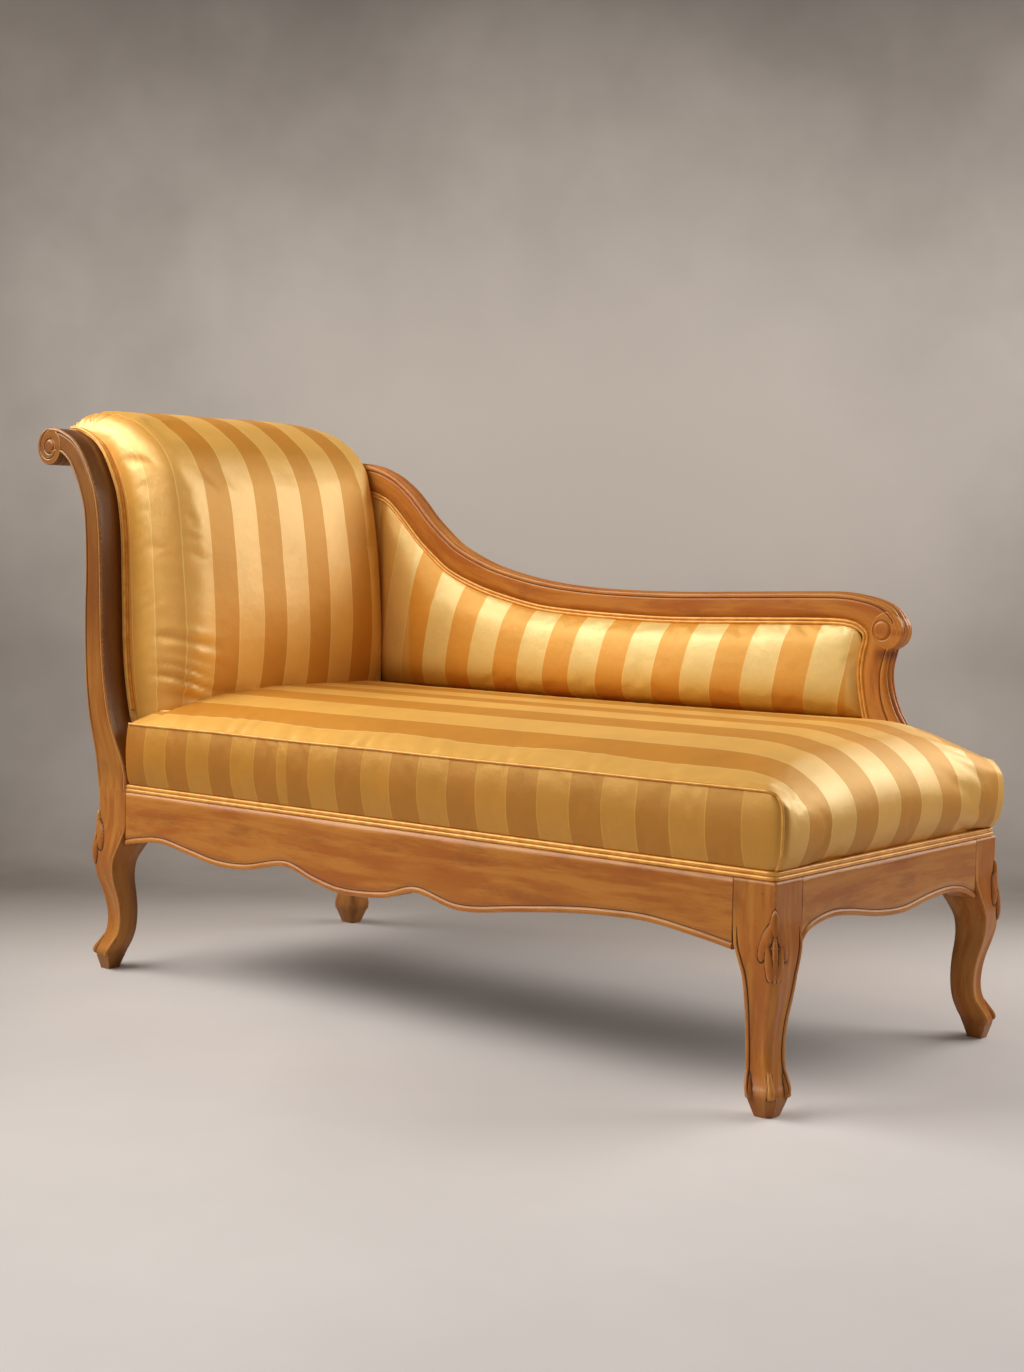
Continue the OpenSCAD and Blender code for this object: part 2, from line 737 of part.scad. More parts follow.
module corner_screws() {
    color(steel)
        at_corners() {
            corner_screw_bores(0);
            corner_screw_bores(0);
        }
}

// Cleats, stretcher, webbing and bottom cloth inside the seat rails
web_z = rail_h - web_drop;
well_x0 = head_x + rail_t;
well_x1 = foot_x - rail_t;
well_y = half_w - rail_t;
span_x0 = head_x + block_l;
span_x1 = foot_x - leg_sq;
span_y = half_w - leg_sq;
module webbing_cleats() {
    color(inner_wood)
        for (s = [0, 1])
            mirror([0, s, 0]) {
                box([span_x0, -well_y, web_z - cleat], [span_x1, cleat - well_y, web_z]);
            }
    color(inner_wood)
        for (x = [well_x0, well_x1 - cleat])
            box([x, -span_y, web_z - cleat], [x + cleat, span_y, web_z + web_t]);
}
mid_x = (span_x0 + span_x1) / 2;
module seat_stretcher() {
    color(inner_wood)
        box([mid_x - inner_rail_t, cleat - well_y, web_z - cleat],
            [mid_x + inner_rail_t, well_y - cleat, web_z]);
}
module bottom_cloth() {
    z0 = web_z - cleat - cloth_t;
    z1 = web_z - cleat;
    color("dimgray")
        union() {
            box([span_x0 + fit_gap, fit_gap - well_y, z0], [span_x1 - fit_gap, well_y - fit_gap, z1]);
            box([well_x0 + fit_gap, fit_gap - span_y, z0], [well_x1 - fit_gap, span_y - fit_gap, z1]);
        }
}

// Seat: places shared by its springs, pads and cover
seat_gap = 4;
seat_x0 = head_x + block_l + seat_gap;
seat_x1 = foot_x - welt_t;
seat_y = half_w - welt_t;
cavity_x0 = seat_x0 + edge_t;
cavity_x1 = seat_x1 - edge_t;
cavity_y0 = edge_t - seat_y;
cavity_y1 = in_y - edge_t;
cavity_z = rail_h + cavity_h;
pad_h = cavity_h * 0.15;
burlap_z = cavity_z - pad_h - cloth_t;
spring_z = web_z + 2 * web_t;
col_pitch = (cavity_x1 - cavity_x0) / spring_cols;
row_pitch = (cavity_y1 - cavity_y0) / spring_rows;
function col_x(i) = cavity_x0 + (i + 0.5) * col_pitch;
function row_y(i) = cavity_y0 + (i + 0.5) * row_pitch;

module seat_webbing_cross() {
    color(jute)
        for (i = [0:spring_cols - 1])
            box([col_x(i) - web_w / 2, fit_gap - well_y, web_z],
                [col_x(i) + web_w / 2, well_y - fit_gap, web_z + web_t]);
}
module seat_webbing_long() {
    color(jute)
        for (i = [0:spring_rows - 1])
            box([well_x0 + fit_gap, row_y(i) - web_w / 2, web_z + web_t],
                [well_x1 - fit_gap, row_y(i) + web_w / 2, spring_z]);
}

// Hourglass spring: its end coils lie flat and its wire runs unbroken
spring_steps = 6;
function spring_radius(t) = spring_waist + (spring_r - spring_waist) * pow(2 * t - 1, 2);
function spring_lift(t) = t * t * (3 - 2 * t);
function wire_ring(t, h) = let (a = 360 * spring_turns * t, r = spring_radius(t),
        z = wire_r + (h - 2 * wire_r) * spring_lift(t))
    [for (q = [[1, 0], [0, -1], [-1, 0], [0, 1]])
        [(r + q[0] * wire_r) * cos(a), (r + q[0] * wire_r) * sin(a), z + q[1] * wire_r]];
module spring() {
    n = spring_turns * spring_steps;
    skin([for (i = [0:n]) wire_ring(i / n, burlap_z - spring_z)]);
}
module seat_springs() {
    color(steel)
        for (i = [0:spring_cols - 1])
            for (j = [0:spring_rows - 1])
                translate([col_x(i), row_y(j), spring_z])
                    spring();
}
module seat_burlap() {
    color(jute)
        box([cavity_x0 + fit_gap, cavity_y0 + fit_gap, burlap_z],
            [cavity_x1 - fit_gap, cavity_y1 - fit_gap, burlap_z + cloth_t]);
}
module seat_hair_pad() {
    color("dimgray")
        box([cavity_x0 + fit_gap, cavity_y0 + fit_gap, burlap_z + cloth_t],
            [cavity_x1 - fit_gap, cavity_y1 - fit_gap, cavity_z]);
}

// Height of the seat's top. It climbs slowly from the piped front edge, quickly from
// the back edge, and falls in a long waterfall to the foot
crown_back = 90;
crown_foot = 230;
front_power = 2.2;
back_power = 3;
foot_power = 4;
function rise(d, reach, power) = 1 - pow(1 - max(0, min(d / reach, 1)), power);
function seat_top_z(x, y) = rail_h + seat_wall + seat_crown
    * rise(seat_y + y, seat_y, front_power)
    * rise(seat_y - y, crown_back, back_power)
    * rise(seat_x1 - x, crown_foot, foot_power);

// Wall rows: height as a share of the wall, swell as a share of seat_swell
seat_wall_shares = [[0, 0], [0.11, 0], [0.14, 0.45], [0.32, 0.86], [0.6, 1],
    [0.85, 0.85], [1, 0.6]];
seat_inset_shares = [0.03, 0.08, 0.16, 0.28, 0.45, 0.68, 0.92];
long_shares = [0.2, 0.45, 0.65, 0.78, 0.86, 0.92, 0.96];
short_shares = [0.05, 0.12, 0.2, 0.3, 0.42, 0.55, 0.68, 0.78, 0.86, 0.92, 0.97];
corner_turns = [0, 30, 60, 90];

// Outline of the seat, swollen by a share of its swell except at its head end
function seat_outline(share) = let (r = seat_corner, x0 = seat_x0 + r,
        x1 = seat_x1 + share * (foot_out + welt_t) - r,
        y0 = r - seat_y - share * seat_swell, y1 = -y0) concat(
    [for (a = corner_turns) [x0, y0] - r * [cos(a), sin(a)]],
    [for (s = long_shares) [lerp(x0, x1, s), y0 - r]],
    [for (a = corner_turns) [x1, y0] + r * [sin(a), -cos(a)]],
    [for (s = short_shares) [x1 + r, lerp(y0, y1, s)]],
    [for (a = corner_turns) [x1, y1] + r * [cos(a), sin(a)]],
    [for (s = reversed(long_shares)) [lerp(x0, x1, s), y1 + r]],
    [for (a = corner_turns) [x0, y1] + r * [-sin(a), cos(a)]],
    [for (s = reversed(short_shares)) [x0 - r, lerp(y0, y1, s)]]);
seat_rim = seat_outline(0.6);
function spine_point(p) = [max(seat_x0 + seat_y, min(seat_x1 - seat_y, p[0])), 0];
function inset_ring(q) = [for (p = seat_rim)
    let (c = lerp(p, spine_point(p), q))
    [c[0], c[1], q > 0.9 ? rail_h + seat_wall + seat_crown
        : seat_top_z(c[0], c[1])]];

module seat_cushion() {
    walls = [for (w = seat_wall_shares)
        [for (p = seat_outline(w[1])) [p[0], p[1], rail_h + w[0] * seat_wall]]];
    tops = [for (q = seat_inset_shares) inset_ring(q)];
    color(satin)
        difference() {
            skin(concat(walls, tops));
            box([cavity_x0, cavity_y0, rail_h - over], [cavity_x1, cavity_y1, cavity_z]);
            box([head_x, stump_clear[1], rail_h - over],
                [stump_clear[0], frame_w, stump_h]);
        }
}

// Piping along the seat's front edge, round its foot corner and down the upright seam
pipe_reach = piping_r + fit_gap;
pipe_off = pipe_reach * sin(45);
pipe_top_share = seat_wall_shares[len(seat_wall_shares) - 1][1];
pipe_from = 2;
function pipe_corner(swell, a, off) = [
    seat_x1 + swell * (foot_out + welt_t) - seat_corner + (seat_corner + off) * sin(a),
    seat_corner - seat_y - swell * seat_swell - (seat_corner + off) * cos(a)];
function at_height(p, z) = [p[0], p[1], z];
pipe_path = let (top = rail_h + seat_wall) concat(
    [at_height([seat_x0 + seat_corner, pipe_corner(pipe_top_share, 0, pipe_off)[1]], top + pipe_off)],
    [for (a = [0, 20, 40]) at_height(pipe_corner(pipe_top_share, a, pipe_off), top + pipe_off)],
    [at_height(pipe_corner(pipe_top_share, 45, pipe_reach), top)],
    [for (i = [len(seat_wall_shares) - 2:-1:pipe_from])
        at_height(pipe_corner(seat_wall_shares[i][1], 45, pipe_reach),
            rail_h + seat_wall_shares[i][0] * seat_wall)]);
function pipe_way(i) = unit(pipe_path[min(i + 1, len(pipe_path) - 1)] - pipe_path[max(i - 1, 0)]);
module seat_piping() {
    color(cord)
        skin([for (i = [0:len(pipe_path) - 1])
            let (w = pipe_way(i), u = unit(cross(w, [0, 1, 0])), v = cross(w, u))
            [for (a = [0:45:315]) pipe_path[i] + piping_r * (cos(a) * u + sin(a) * v)]]);
}

// Double welt round the foot of the seat, on the rails' top edge
module seat_welt() {
    stump_x = stump_clear[0];
    outer = [[span_x0 + fit_gap, -half_w], [foot_x, -half_w], [foot_x, half_w], [stump_x, half_w]];
    inner = [[stump_x, seat_y + fit_gap], [seat_x1 + fit_gap, seat_y + fit_gap],
        [seat_x1 + fit_gap, -seat_y - fit_gap], [span_x0 + fit_gap, -seat_y - fit_gap]];
    color(cord)
        translate([0, 0, rail_h])
            linear_extrude(welt_w)
                polygon(concat(outer, inner));
}

// Head upholstery: webbing and burlap follow the stiles, the stuffing crowns in front
head_strips = 5;
head_pitch = 2 * in_y / head_strips;
module head_webbing() {
    outline = concat(head_web_line, reversed(head_burlap_line));
    color(jute)
        for (i = [0:head_strips - 1])
            plate(outline, (i + 0.5) * head_pitch - in_y - web_w / 2,
                (i + 0.5) * head_pitch - in_y + web_w / 2);
}
head_far_y = in_y - welt_w;
module head_burlap() {
    color(jute)
        plate(concat(head_burlap_line, reversed(head_pad_line)), fit_gap - in_y, in_y - fit_gap);
}
module head_outside_back() {
    edge = slice(stile_back, 0, stile_last - 2);
    color(satin)
        plate(ribbon(edge, 2 * web_t, 3 * web_t + cloth_t), fit_gap - in_y, in_y - fit_gap);
}

// Full way from the stiles' front edge to the crowned face, as shares of head_pad
head_full_shares = [
    [0.75, 0], [0.89, 0.31], [0.97, 0.385], [1.0, 0.42], [0.977, 0.42], [0.94, 0.42],
    [0.89, 0.385], [0.854, 0.36], [0.815, 0.42], [0.74, 0.454], [0.615, 0.446],
    [0.415, 0.44], [0.177, 0.40], [-0.04, 0.354], [-0.154, 0.246], [-0.16, 0.085],
    [-0.115, -0.01], [-0.046, -0.03], [-0.02, -0.03], [-0.01, -0.02], [0, -0.01]];
roll_turns = [130, 175, 220, 250, 270];
head_base = concat(slice(stile_front, 4, stile_last),
    [for (a = roll_turns) scroll_c + scroll_r * [cos(a), sin(a)]]);
rail_turns = [270, 240, 210, 180, 135, 90, 60];
head_in_rail = [for (a = rail_turns) scroll_c + (top_rail_r + web_t + cloth_t) * [cos(a), sin(a)]];
head_in_line = reversed(head_pad_line);

// Section of the head's stuffing at depth y, with fullness f from 0 to 1
function head_section(y, f) = let (
        full = [for (i = [0:len(head_base) - 1]) head_base[i] + f * head_pad * head_full_shares[i]],
        foot_x_in = lerp(head_in_line[len(head_in_line) - 1][0] + web_t, seat_x0 - fit_gap, f),
        z_in = seat_top_z(seat_x0, y) + fit_gap,
        z_out = seat_top_z(full[0][0], y) + fit_gap,
        low = head_in_line[len(head_in_line) - 1][1])
    concat([[foot_x_in, low], [foot_x_in, lerp((low + z_out) / 2, z_in, f)], [full[0][0], z_out]],
        slice(full, 1, len(full) - 1), head_in_rail, head_in_line);

// Stations of that stuffing: a quarter turn in at each end and a slight crown between
end_turns = [0, 18, 36, 54, 72, 90];
mid_crown_share = 0.04;
head_stations = concat(
    [[fit_gap - in_y, 0]],
    [for (a = end_turns) [welt_w - in_y + head_round * (1 - cos(a)), sin(a)]],
    [for (s = [0.25, 0.5, 0.75]) [lerp(welt_w - in_y + head_round, head_far_y - head_round, s),
        1 + mid_crown_share * sin(180 * s)]],
    [for (a = reversed(end_turns)) [head_far_y - fit_gap - head_round * (1 - cos(a)), sin(a)]]);
module head_cushion() {
    color(satin)
        skin([for (s = head_stations)
            [for (p = reversed(head_section(s[0], s[1]))) [p[0], s[0], p[1]]]],
            rungs = true);
}

// Double welts between the head's stuffing and its stiles
welt_foot_share = 0.35;
head_welt_line = concat([lerp(stile_front[4], stile_front[5], welt_foot_share)],
    slice(stile_front, 5, stile_last));
module head_welt() {
    plate(ribbon(head_welt_line, 0, welt_t), -in_y, welt_w - in_y);
}
module head_welt_front() {
    color(cord)
        head_welt();
}
module head_welt_back() {
    color(cord)
        mirror([0, 1, 0])
            head_welt();
}

// Side upholstery: a swollen panel between the seat, the welts and the head, with a
// flat skirt that runs down behind the seat to the lower rail
side_up = [0, 0.08, 0.25, 0.5, 0.75, 0.9, 0.97, 1];
panel_z = rail_h + seat_wall + seat_crown + fit_gap;
panel_x0 = post_front_x(panel_z) + fit_gap;
panel_x1 = stump_inner_x(panel_z) - welt_w - 4 * fit_gap;
crest_welt_line = beside([for (i = [crest_from:crest_to]) crest_under[i]], welt_w + 2 * fit_gap);
panel_top_x = stump_pairs[0][1][0] - welt_w - 4 * fit_gap;
panel_corner = crest_w * 0.75;
function panel_top_z(x) = let (d = max(0, min(panel_corner, x - panel_top_x + panel_corner)))
    lookup(x, crest_welt_line) - panel_corner + sqrt(pow(panel_corner, 2) - d * d);
corner_x_shares = [0.75, 0.5, 0.25, 0.1];
side_across = concat([0], [for (p = crest_welt_line)
    if (p[0] > panel_x0 + fit_gap && p[0] < panel_top_x - panel_corner)
        (p[0] - panel_x0) / (panel_top_x - panel_x0)],
    [for (c = corner_x_shares) 1 - c * panel_corner / (panel_top_x - panel_x0)], [1]);
function side_bottom(s) = [lerp(panel_x0, panel_x1, s), panel_z];
function side_top(s) = let (x = lerp(panel_x0, panel_top_x, s)) [x, panel_top_z(x)];
function side_left(t) = [panel_x0, lerp(panel_z, side_top(0)[1], t)];
function side_right(t) = let (z = lerp(panel_z, side_top(1)[1], t))
    [stump_inner_x(z) - welt_w - 4 * fit_gap, z];
function side_point(s, t) = lerp(side_bottom(s), side_top(s), t)
    + lerp(side_left(t), side_right(t), s)
    - lerp(lerp(side_bottom(0), side_top(0), t), lerp(side_bottom(1), side_top(1), t), s);
side_start = 0.085;
function bulge(q) = pow(max(0, sin(180 * max(0, min(1, q)))), 0.4);
function side_swell(s, t) = side_crown * bulge((s - side_start) / (1 - side_start)) * bulge(t);
function skirt_point(s) = [lerp(side_x0, side_x1 - welt_w, s), side_bottom_z];

module grid_solid(front, back) {
    m = len(front);
    n = len(front[0]);
    function id(i, j) = i * n + j;
    quads = [for (i = [0:m - 2]) for (j = [0:n - 2])
        [id(i, j), id(i + 1, j), id(i + 1, j + 1), id(i, j + 1)]];
    rim = concat([for (i = [0:m - 2]) id(i, 0)], [for (j = [0:n - 2]) id(m - 1, j)],
        [for (i = [m - 1:-1:1]) id(i, n - 1)], [for (j = [n - 1:-1:1]) id(0, j)]);
    k = len(rim);
    polyhedron(
        points = concat([for (r = front) each r], [for (r = back) each r]),
        faces = concat(
            [for (q = quads) [q[0], q[3], q[2]]], [for (q = quads) [q[0], q[2], q[1]]],
            [for (q = quads) [q[0] + m * n, q[1] + m * n, q[2] + m * n, q[3] + m * n]],
            [for (i = [0:k - 1]) [rim[i], rim[(i + 1) % k], rim[(i + 1) % k] + m * n, rim[i] + m * n]]));
}
module side_cushion() {
    places = [for (s = side_across)
        concat([skirt_point(s)], [for (t = side_up) side_point(s, t)])];
    swells = [for (s = side_across) concat([0], [for (t = side_up) side_swell(s, t)])];
    front = [for (i = [0:len(places) - 1]) [for (j = [0:len(side_up)])
        [places[i][j][0], side_face_y - swells[i][j], places[i][j][1]]]];
    back = [for (column = places) [for (p = column) [p[0], side_pad_y, p[1]]]];
    color(satin)
        grid_solid(front, back);
}

// Double welt under the crest rail and down the stump to the seat
welt_path = concat([for (i = [crest_from + 2:len(crest_under) - 1]) crest_under[i]],
    [for (p = slice(stump_inner, 1, len(stump_inner) - 1))
        if (p[1] > rail_h + seat_wall + seat_crown * 0.7) p]);
module side_welt() {
    color(cord)
        plate(ribbon(welt_path, 0, welt_w), side_face_y - welt_t, side_face_y);
}

head_post_front();
head_post_back();
foot_leg_front();
foot_leg_back();
front_apron();
back_apron();
foot_apron();
head_apron();
side_crest_rail();
side_arm_stump();
head_top_rail();
head_lower_rail();
side_lower_rail();
side_uprights();
corner_blocks();
corner_screws();
webbing_cleats();
seat_stretcher();
seat_webbing_cross();
seat_webbing_long();
seat_springs();
seat_burlap();
seat_hair_pad();
seat_cushion();
seat_piping();
seat_welt();
bottom_cloth();
head_webbing();
head_burlap();
head_cushion();
head_outside_back();
head_welt_front();
head_welt_back();
side_webbing();
side_burlap();
side_cushion();
side_outside_back();
side_welt();
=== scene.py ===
# %% [markdown]
# # A recamier: day couch with a scrolled head
# The couch is already packed as solids, to scale, with its feet on the floor. This lesson
# dresses it. The show wood is lofted again with finer carving, the stuffed parts become
# striped satin covers, and the welts are cords swept along their seams.

# %% Load the frame
import math

import bmesh
import bpy
import numpy as np
from mathutils import Matrix, Vector


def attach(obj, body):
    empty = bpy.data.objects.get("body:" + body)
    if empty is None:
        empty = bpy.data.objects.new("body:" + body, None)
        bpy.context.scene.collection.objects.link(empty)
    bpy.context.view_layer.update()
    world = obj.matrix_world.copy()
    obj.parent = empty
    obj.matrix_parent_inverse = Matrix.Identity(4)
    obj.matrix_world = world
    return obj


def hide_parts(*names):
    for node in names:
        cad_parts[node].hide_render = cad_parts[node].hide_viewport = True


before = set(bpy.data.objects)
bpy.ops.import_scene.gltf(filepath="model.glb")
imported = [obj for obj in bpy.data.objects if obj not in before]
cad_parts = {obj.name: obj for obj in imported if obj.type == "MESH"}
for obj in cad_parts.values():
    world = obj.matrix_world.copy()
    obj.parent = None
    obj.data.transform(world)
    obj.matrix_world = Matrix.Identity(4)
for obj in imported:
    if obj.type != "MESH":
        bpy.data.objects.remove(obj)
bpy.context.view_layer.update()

# %% [markdown]
# ## Sizes
# Every length is in metres and repeats the solids' own driving sizes, so each cover and
# moulding lands on the solid that it dresses. The head is at -X and the open side at -Y.

# %% Driving sizes
frame_l = 1.472
frame_w = 0.674
rail_h = 0.334
rail_t = 0.044
apron_d = 0.120
leg_sq = 0.070
block_l = 0.077
lean = 0.182
post_rise = 0.668
stile_w = 0.044
stile_t = 0.048
scroll_r = 0.0345
top_rail_r = 0.024
inner_rail_t = 0.030
head_pad = 0.130
head_round = 0.060
side_short = 0.158
crest_w = 0.042
crest_t = 0.036
crest_scroll_r = 0.033
stump_h = 0.632
side_crown = 0.036
seat_wall = 0.126
seat_crown = 0.056
seat_swell = 0.014
foot_out = 0.015
welt_w = 0.012
welt_t = 0.008
piping_r = 0.0032
roll_out = 0.006
hair = 0.0004
half_w = frame_w / 2
in_y = half_w - stile_t
total_l = lean + roll_out + frame_l + foot_out
head_x = lean + roll_out - total_l / 2
foot_x = head_x + frame_l
side_l = frame_l - side_short
crest_rise = rail_h + post_rise - stump_h
both_sides = (("front", -1), ("back", 1))
print("head block at", round(head_x, 4), "foot legs at", round(foot_x, 4))

# %% [markdown]
# ## Camera
# It comes first, because everything is judged through it. The couch is seen from its open
# side and foot, from a little above the seat, with a long lens.

# %% Camera
camera_at = (2.3003, -2.706, 0.789)
camera_yaw = math.radians(39.6)
camera_pitch = math.radians(3.87)
camera_roll = math.radians(1.02)
camera_lens = 52.79
camera_sensor = 36


def add_object(name, data):
    """A new object in the scene's collection."""
    obj = bpy.data.objects.new(name, data)
    bpy.context.scene.collection.objects.link(obj)
    return obj


def make_camera():
    data = bpy.data.cameras.new("camera")
    data.lens = camera_lens
    data.sensor_width = camera_sensor
    camera = add_object("camera", data)
    turn = (Matrix.Rotation(camera_yaw, 4, "Z")
            @ Matrix.Rotation(math.pi / 2 - camera_pitch, 4, "X"))
    camera.matrix_world = (Matrix.Translation(camera_at) @ turn
                           @ Matrix.Rotation(camera_roll, 4, "Z"))
    bpy.context.scene.camera = camera


make_camera()
bpy.context.scene.view_settings.view_transform = "Standard"
print("camera with a lens of", camera_lens, "mm")

# %% [markdown]
# ## Small tools
# Curves run smoothly through given rows. A loft joins rings of points into a skin.
# Each wooden loft also stores where a point lies across and along the grain, so that the
# grain follows the piece round its bends.

# %% Curves
row_steps = 8


def smooth_rows(rows, n=row_steps):
    """Catmull-Rom rows through the given rows, n steps to an interval."""
    p = np.array(rows, float)
    last = len(p) - 1
    out = []
    for i in range(last):
        a, b, c, d = p[max(i - 1, 0)], p[i], p[i + 1], p[min(i + 2, last)]
        for t in np.arange(n) / n:
            out.append(b + (c - a) * t / 2 + (2 * a - 5 * b + 4 * c - d) * t ** 2 / 2
                       + (3 * b - a - 3 * c + d) * t ** 3 / 2)
    return np.array(out + [p[last]])


def run_lengths(points):
    """Length along a row of points, starting at zero."""
    steps = np.linalg.norm(np.diff(points, axis=0), axis=1)
    return np.concatenate([[0], np.cumsum(steps)])


def rows_at(rows, places):
    """Rows read off a table at given places of its first column."""
    p = np.asarray(rows, float)
    return np.stack([np.interp(places, p[:, 0], p[:, k]) for k in range(p.shape[1])], axis=1)


def even_rows(rows, step):
    """Points along a line of rows, about one step apart."""
    p = np.array(rows, float)
    run = run_lengths(p)
    at = np.linspace(0, run[-1], max(2, int(round(run[-1] / step)) + 1))
    return rows_at(np.column_stack([run, p]), at)[:, 1:]


def right_of(line, least=0.0):
    """Unit vectors to the right of a plane line's way."""
    way = np.gradient(line, axis=0)
    way /= np.linalg.norm(way, axis=1)[:, None] + least
    return np.stack([way[:, 1], -way[:, 0]], axis=1)


def beside(line, off):
    """A plane line moved sideways, to the right of its way."""
    p = np.array(line, float)
    return p + off * right_of(p)


def unit(angle):
    """Plane unit vectors at the given angles."""
    return np.stack([np.cos(angle), np.sin(angle)], axis=-1)


def at_depth(line, y):
    """A line of (x, z) stood up in the frame at depth y."""
    return np.column_stack([line[:, 0], np.full(len(line), y), line[:, 1]])


def gauss(value, width):
    """A soft bump of height 1 where the value is zero."""
    return np.exp(-(np.asarray(value) / width) ** 2)


def soft_step(value):
    """0 to 1, level at both ends."""
    t = np.clip(value, 0, 1)
    return t * t * (3 - 2 * t)


print("curves ready")

# %% Lofts and their attributes
least_weight = 1e-9
wear_scale = 0.005
wear_reach = 0.0004
wear_cap = 1.5
wear_gain = 1.6


def grid_faces(rows, cols, around):
    """Quads of a grid of rows by cols points, closed round its columns if asked."""
    last = cols if around else cols - 1
    i, j = np.meshgrid(np.arange(rows - 1), np.arange(last), indexing="ij")
    k = (j + 1) % cols
    return np.stack([i * cols + j, i * cols + k, (i + 1) * cols + k, (i + 1) * cols + j],
                    axis=-1).reshape(-1, 4)


def border(index):
    """The points round the edge of a grid, in turn."""
    return np.concatenate([index[:-1, 0], index[-1, :-1], index[:0:-1, -1], index[0, :0:-1]])


def mesh_object(name, points, faces):
    mesh = bpy.data.meshes.new(name)
    mesh.from_pydata(np.asarray(points).tolist(), [], [list(map(int, f)) for f in faces])
    mesh.update()
    mesh.shade_smooth()
    return add_object(name, mesh)


def point_attribute(obj, name, values):
    values = np.asarray(values, float)
    kind = "FLOAT" if values.ndim == 1 else "FLOAT_VECTOR"
    layer = obj.data.attributes.new(name, kind, "POINT")
    layer.data.foreach_set("value" if values.ndim == 1 else "vector", values.ravel())


def read(items, key, width=1, kind=float):
    """One property of all points, edges or faces of a mesh."""
    flat = np.empty(len(items) * width, kind)
    items.foreach_get(key, flat)
    return flat if width == 1 else flat.reshape(-1, width)


def face_outward(obj):
    """Turns every face of a closed mesh outward."""
    bm = bmesh.new()
    bm.from_mesh(obj.data)
    bmesh.ops.recalc_face_normals(bm, faces=bm.faces)
    bm.to_mesh(obj.data)
    bm.free()


def convexity(mesh):
    """How sharply a mesh bulges at each point, from -1 in a groove to 1 on an edge."""
    at = read(mesh.vertices, "co", 3)
    normal = read(mesh.vertex_normals, "vector", 3)
    a, b = read(mesh.edges, "vertices", 2, int).T
    total = np.zeros(len(at))
    weight = np.full(len(at), least_weight)
    for here, there in ((a, b), (b, a)):
        step = at[there] - at[here]
        length = np.maximum(np.linalg.norm(step, axis=1), wear_reach)
        bend = -np.einsum("ij,ij->i", step, normal[here]) / length ** 2
        np.add.at(total, here, np.clip(bend * wear_scale, -wear_cap, wear_cap))
        np.add.at(weight, here, 1)
    value = total / weight
    blur = value.copy()
    share = np.ones(len(at))
    for here, there in ((a, b), (b, a)):
        np.add.at(blur, here, value[there])
        np.add.at(share, here, 1)
    return np.clip(blur / share * wear_gain, -1, 1)


def wood_loft(name, rings, grain, shade=0.0):
    """A closed skin through rings of points, with its grain, its wear and its shade (painted
    shade, and toe dirt).
    """
    rings = np.asarray(rings)
    rows, cols = rings.shape[:2]
    coords = np.asarray(grain).reshape(-1, 3)
    first = rows * cols
    end = first - cols
    points = np.vstack([rings.reshape(-1, 3), rings[0].mean(0), rings[-1].mean(0)])
    coords = np.vstack([coords, coords[:cols].mean(0), coords[-cols:].mean(0)])
    faces = grid_faces(rows, cols, True).tolist()
    for i in range(cols):
        j = (i + 1) % cols
        faces += [[first, j, i], [first + 1, end + i, end + j]]
    obj = mesh_object(name, points, faces)
    face_outward(obj)
    dark = np.zeros(len(points))
    dark[:first] = np.broadcast_to(shade, (rows, cols)).ravel()
    point_attribute(obj, "grain", coords)
    point_attribute(obj, "wear", convexity(obj.data))
    point_attribute(obj, "shade", dark)
    return obj


print("tools ready")

# %% [markdown]
# ## Shader groups
# Two effects are shared by several materials, so each is a node group with named inputs:
# the wood's grain, mottle, worn edges and painted shade, and the satin's stripes, threads,
# painted shade and painted sheen. Groups put out only colours, values and heights. The
# shader itself stays in the material.

# %% Node helpers


def srgb(r, g, b):
    """A colour given in 0 to 255, as the linear value that Blender wants."""
    def linear(c):
        c /= 255
        return c / 12.92 if c <= 0.04045 else ((c + 0.055) / 1.055) ** 2.4
    return (linear(r), linear(g), linear(b), 1)


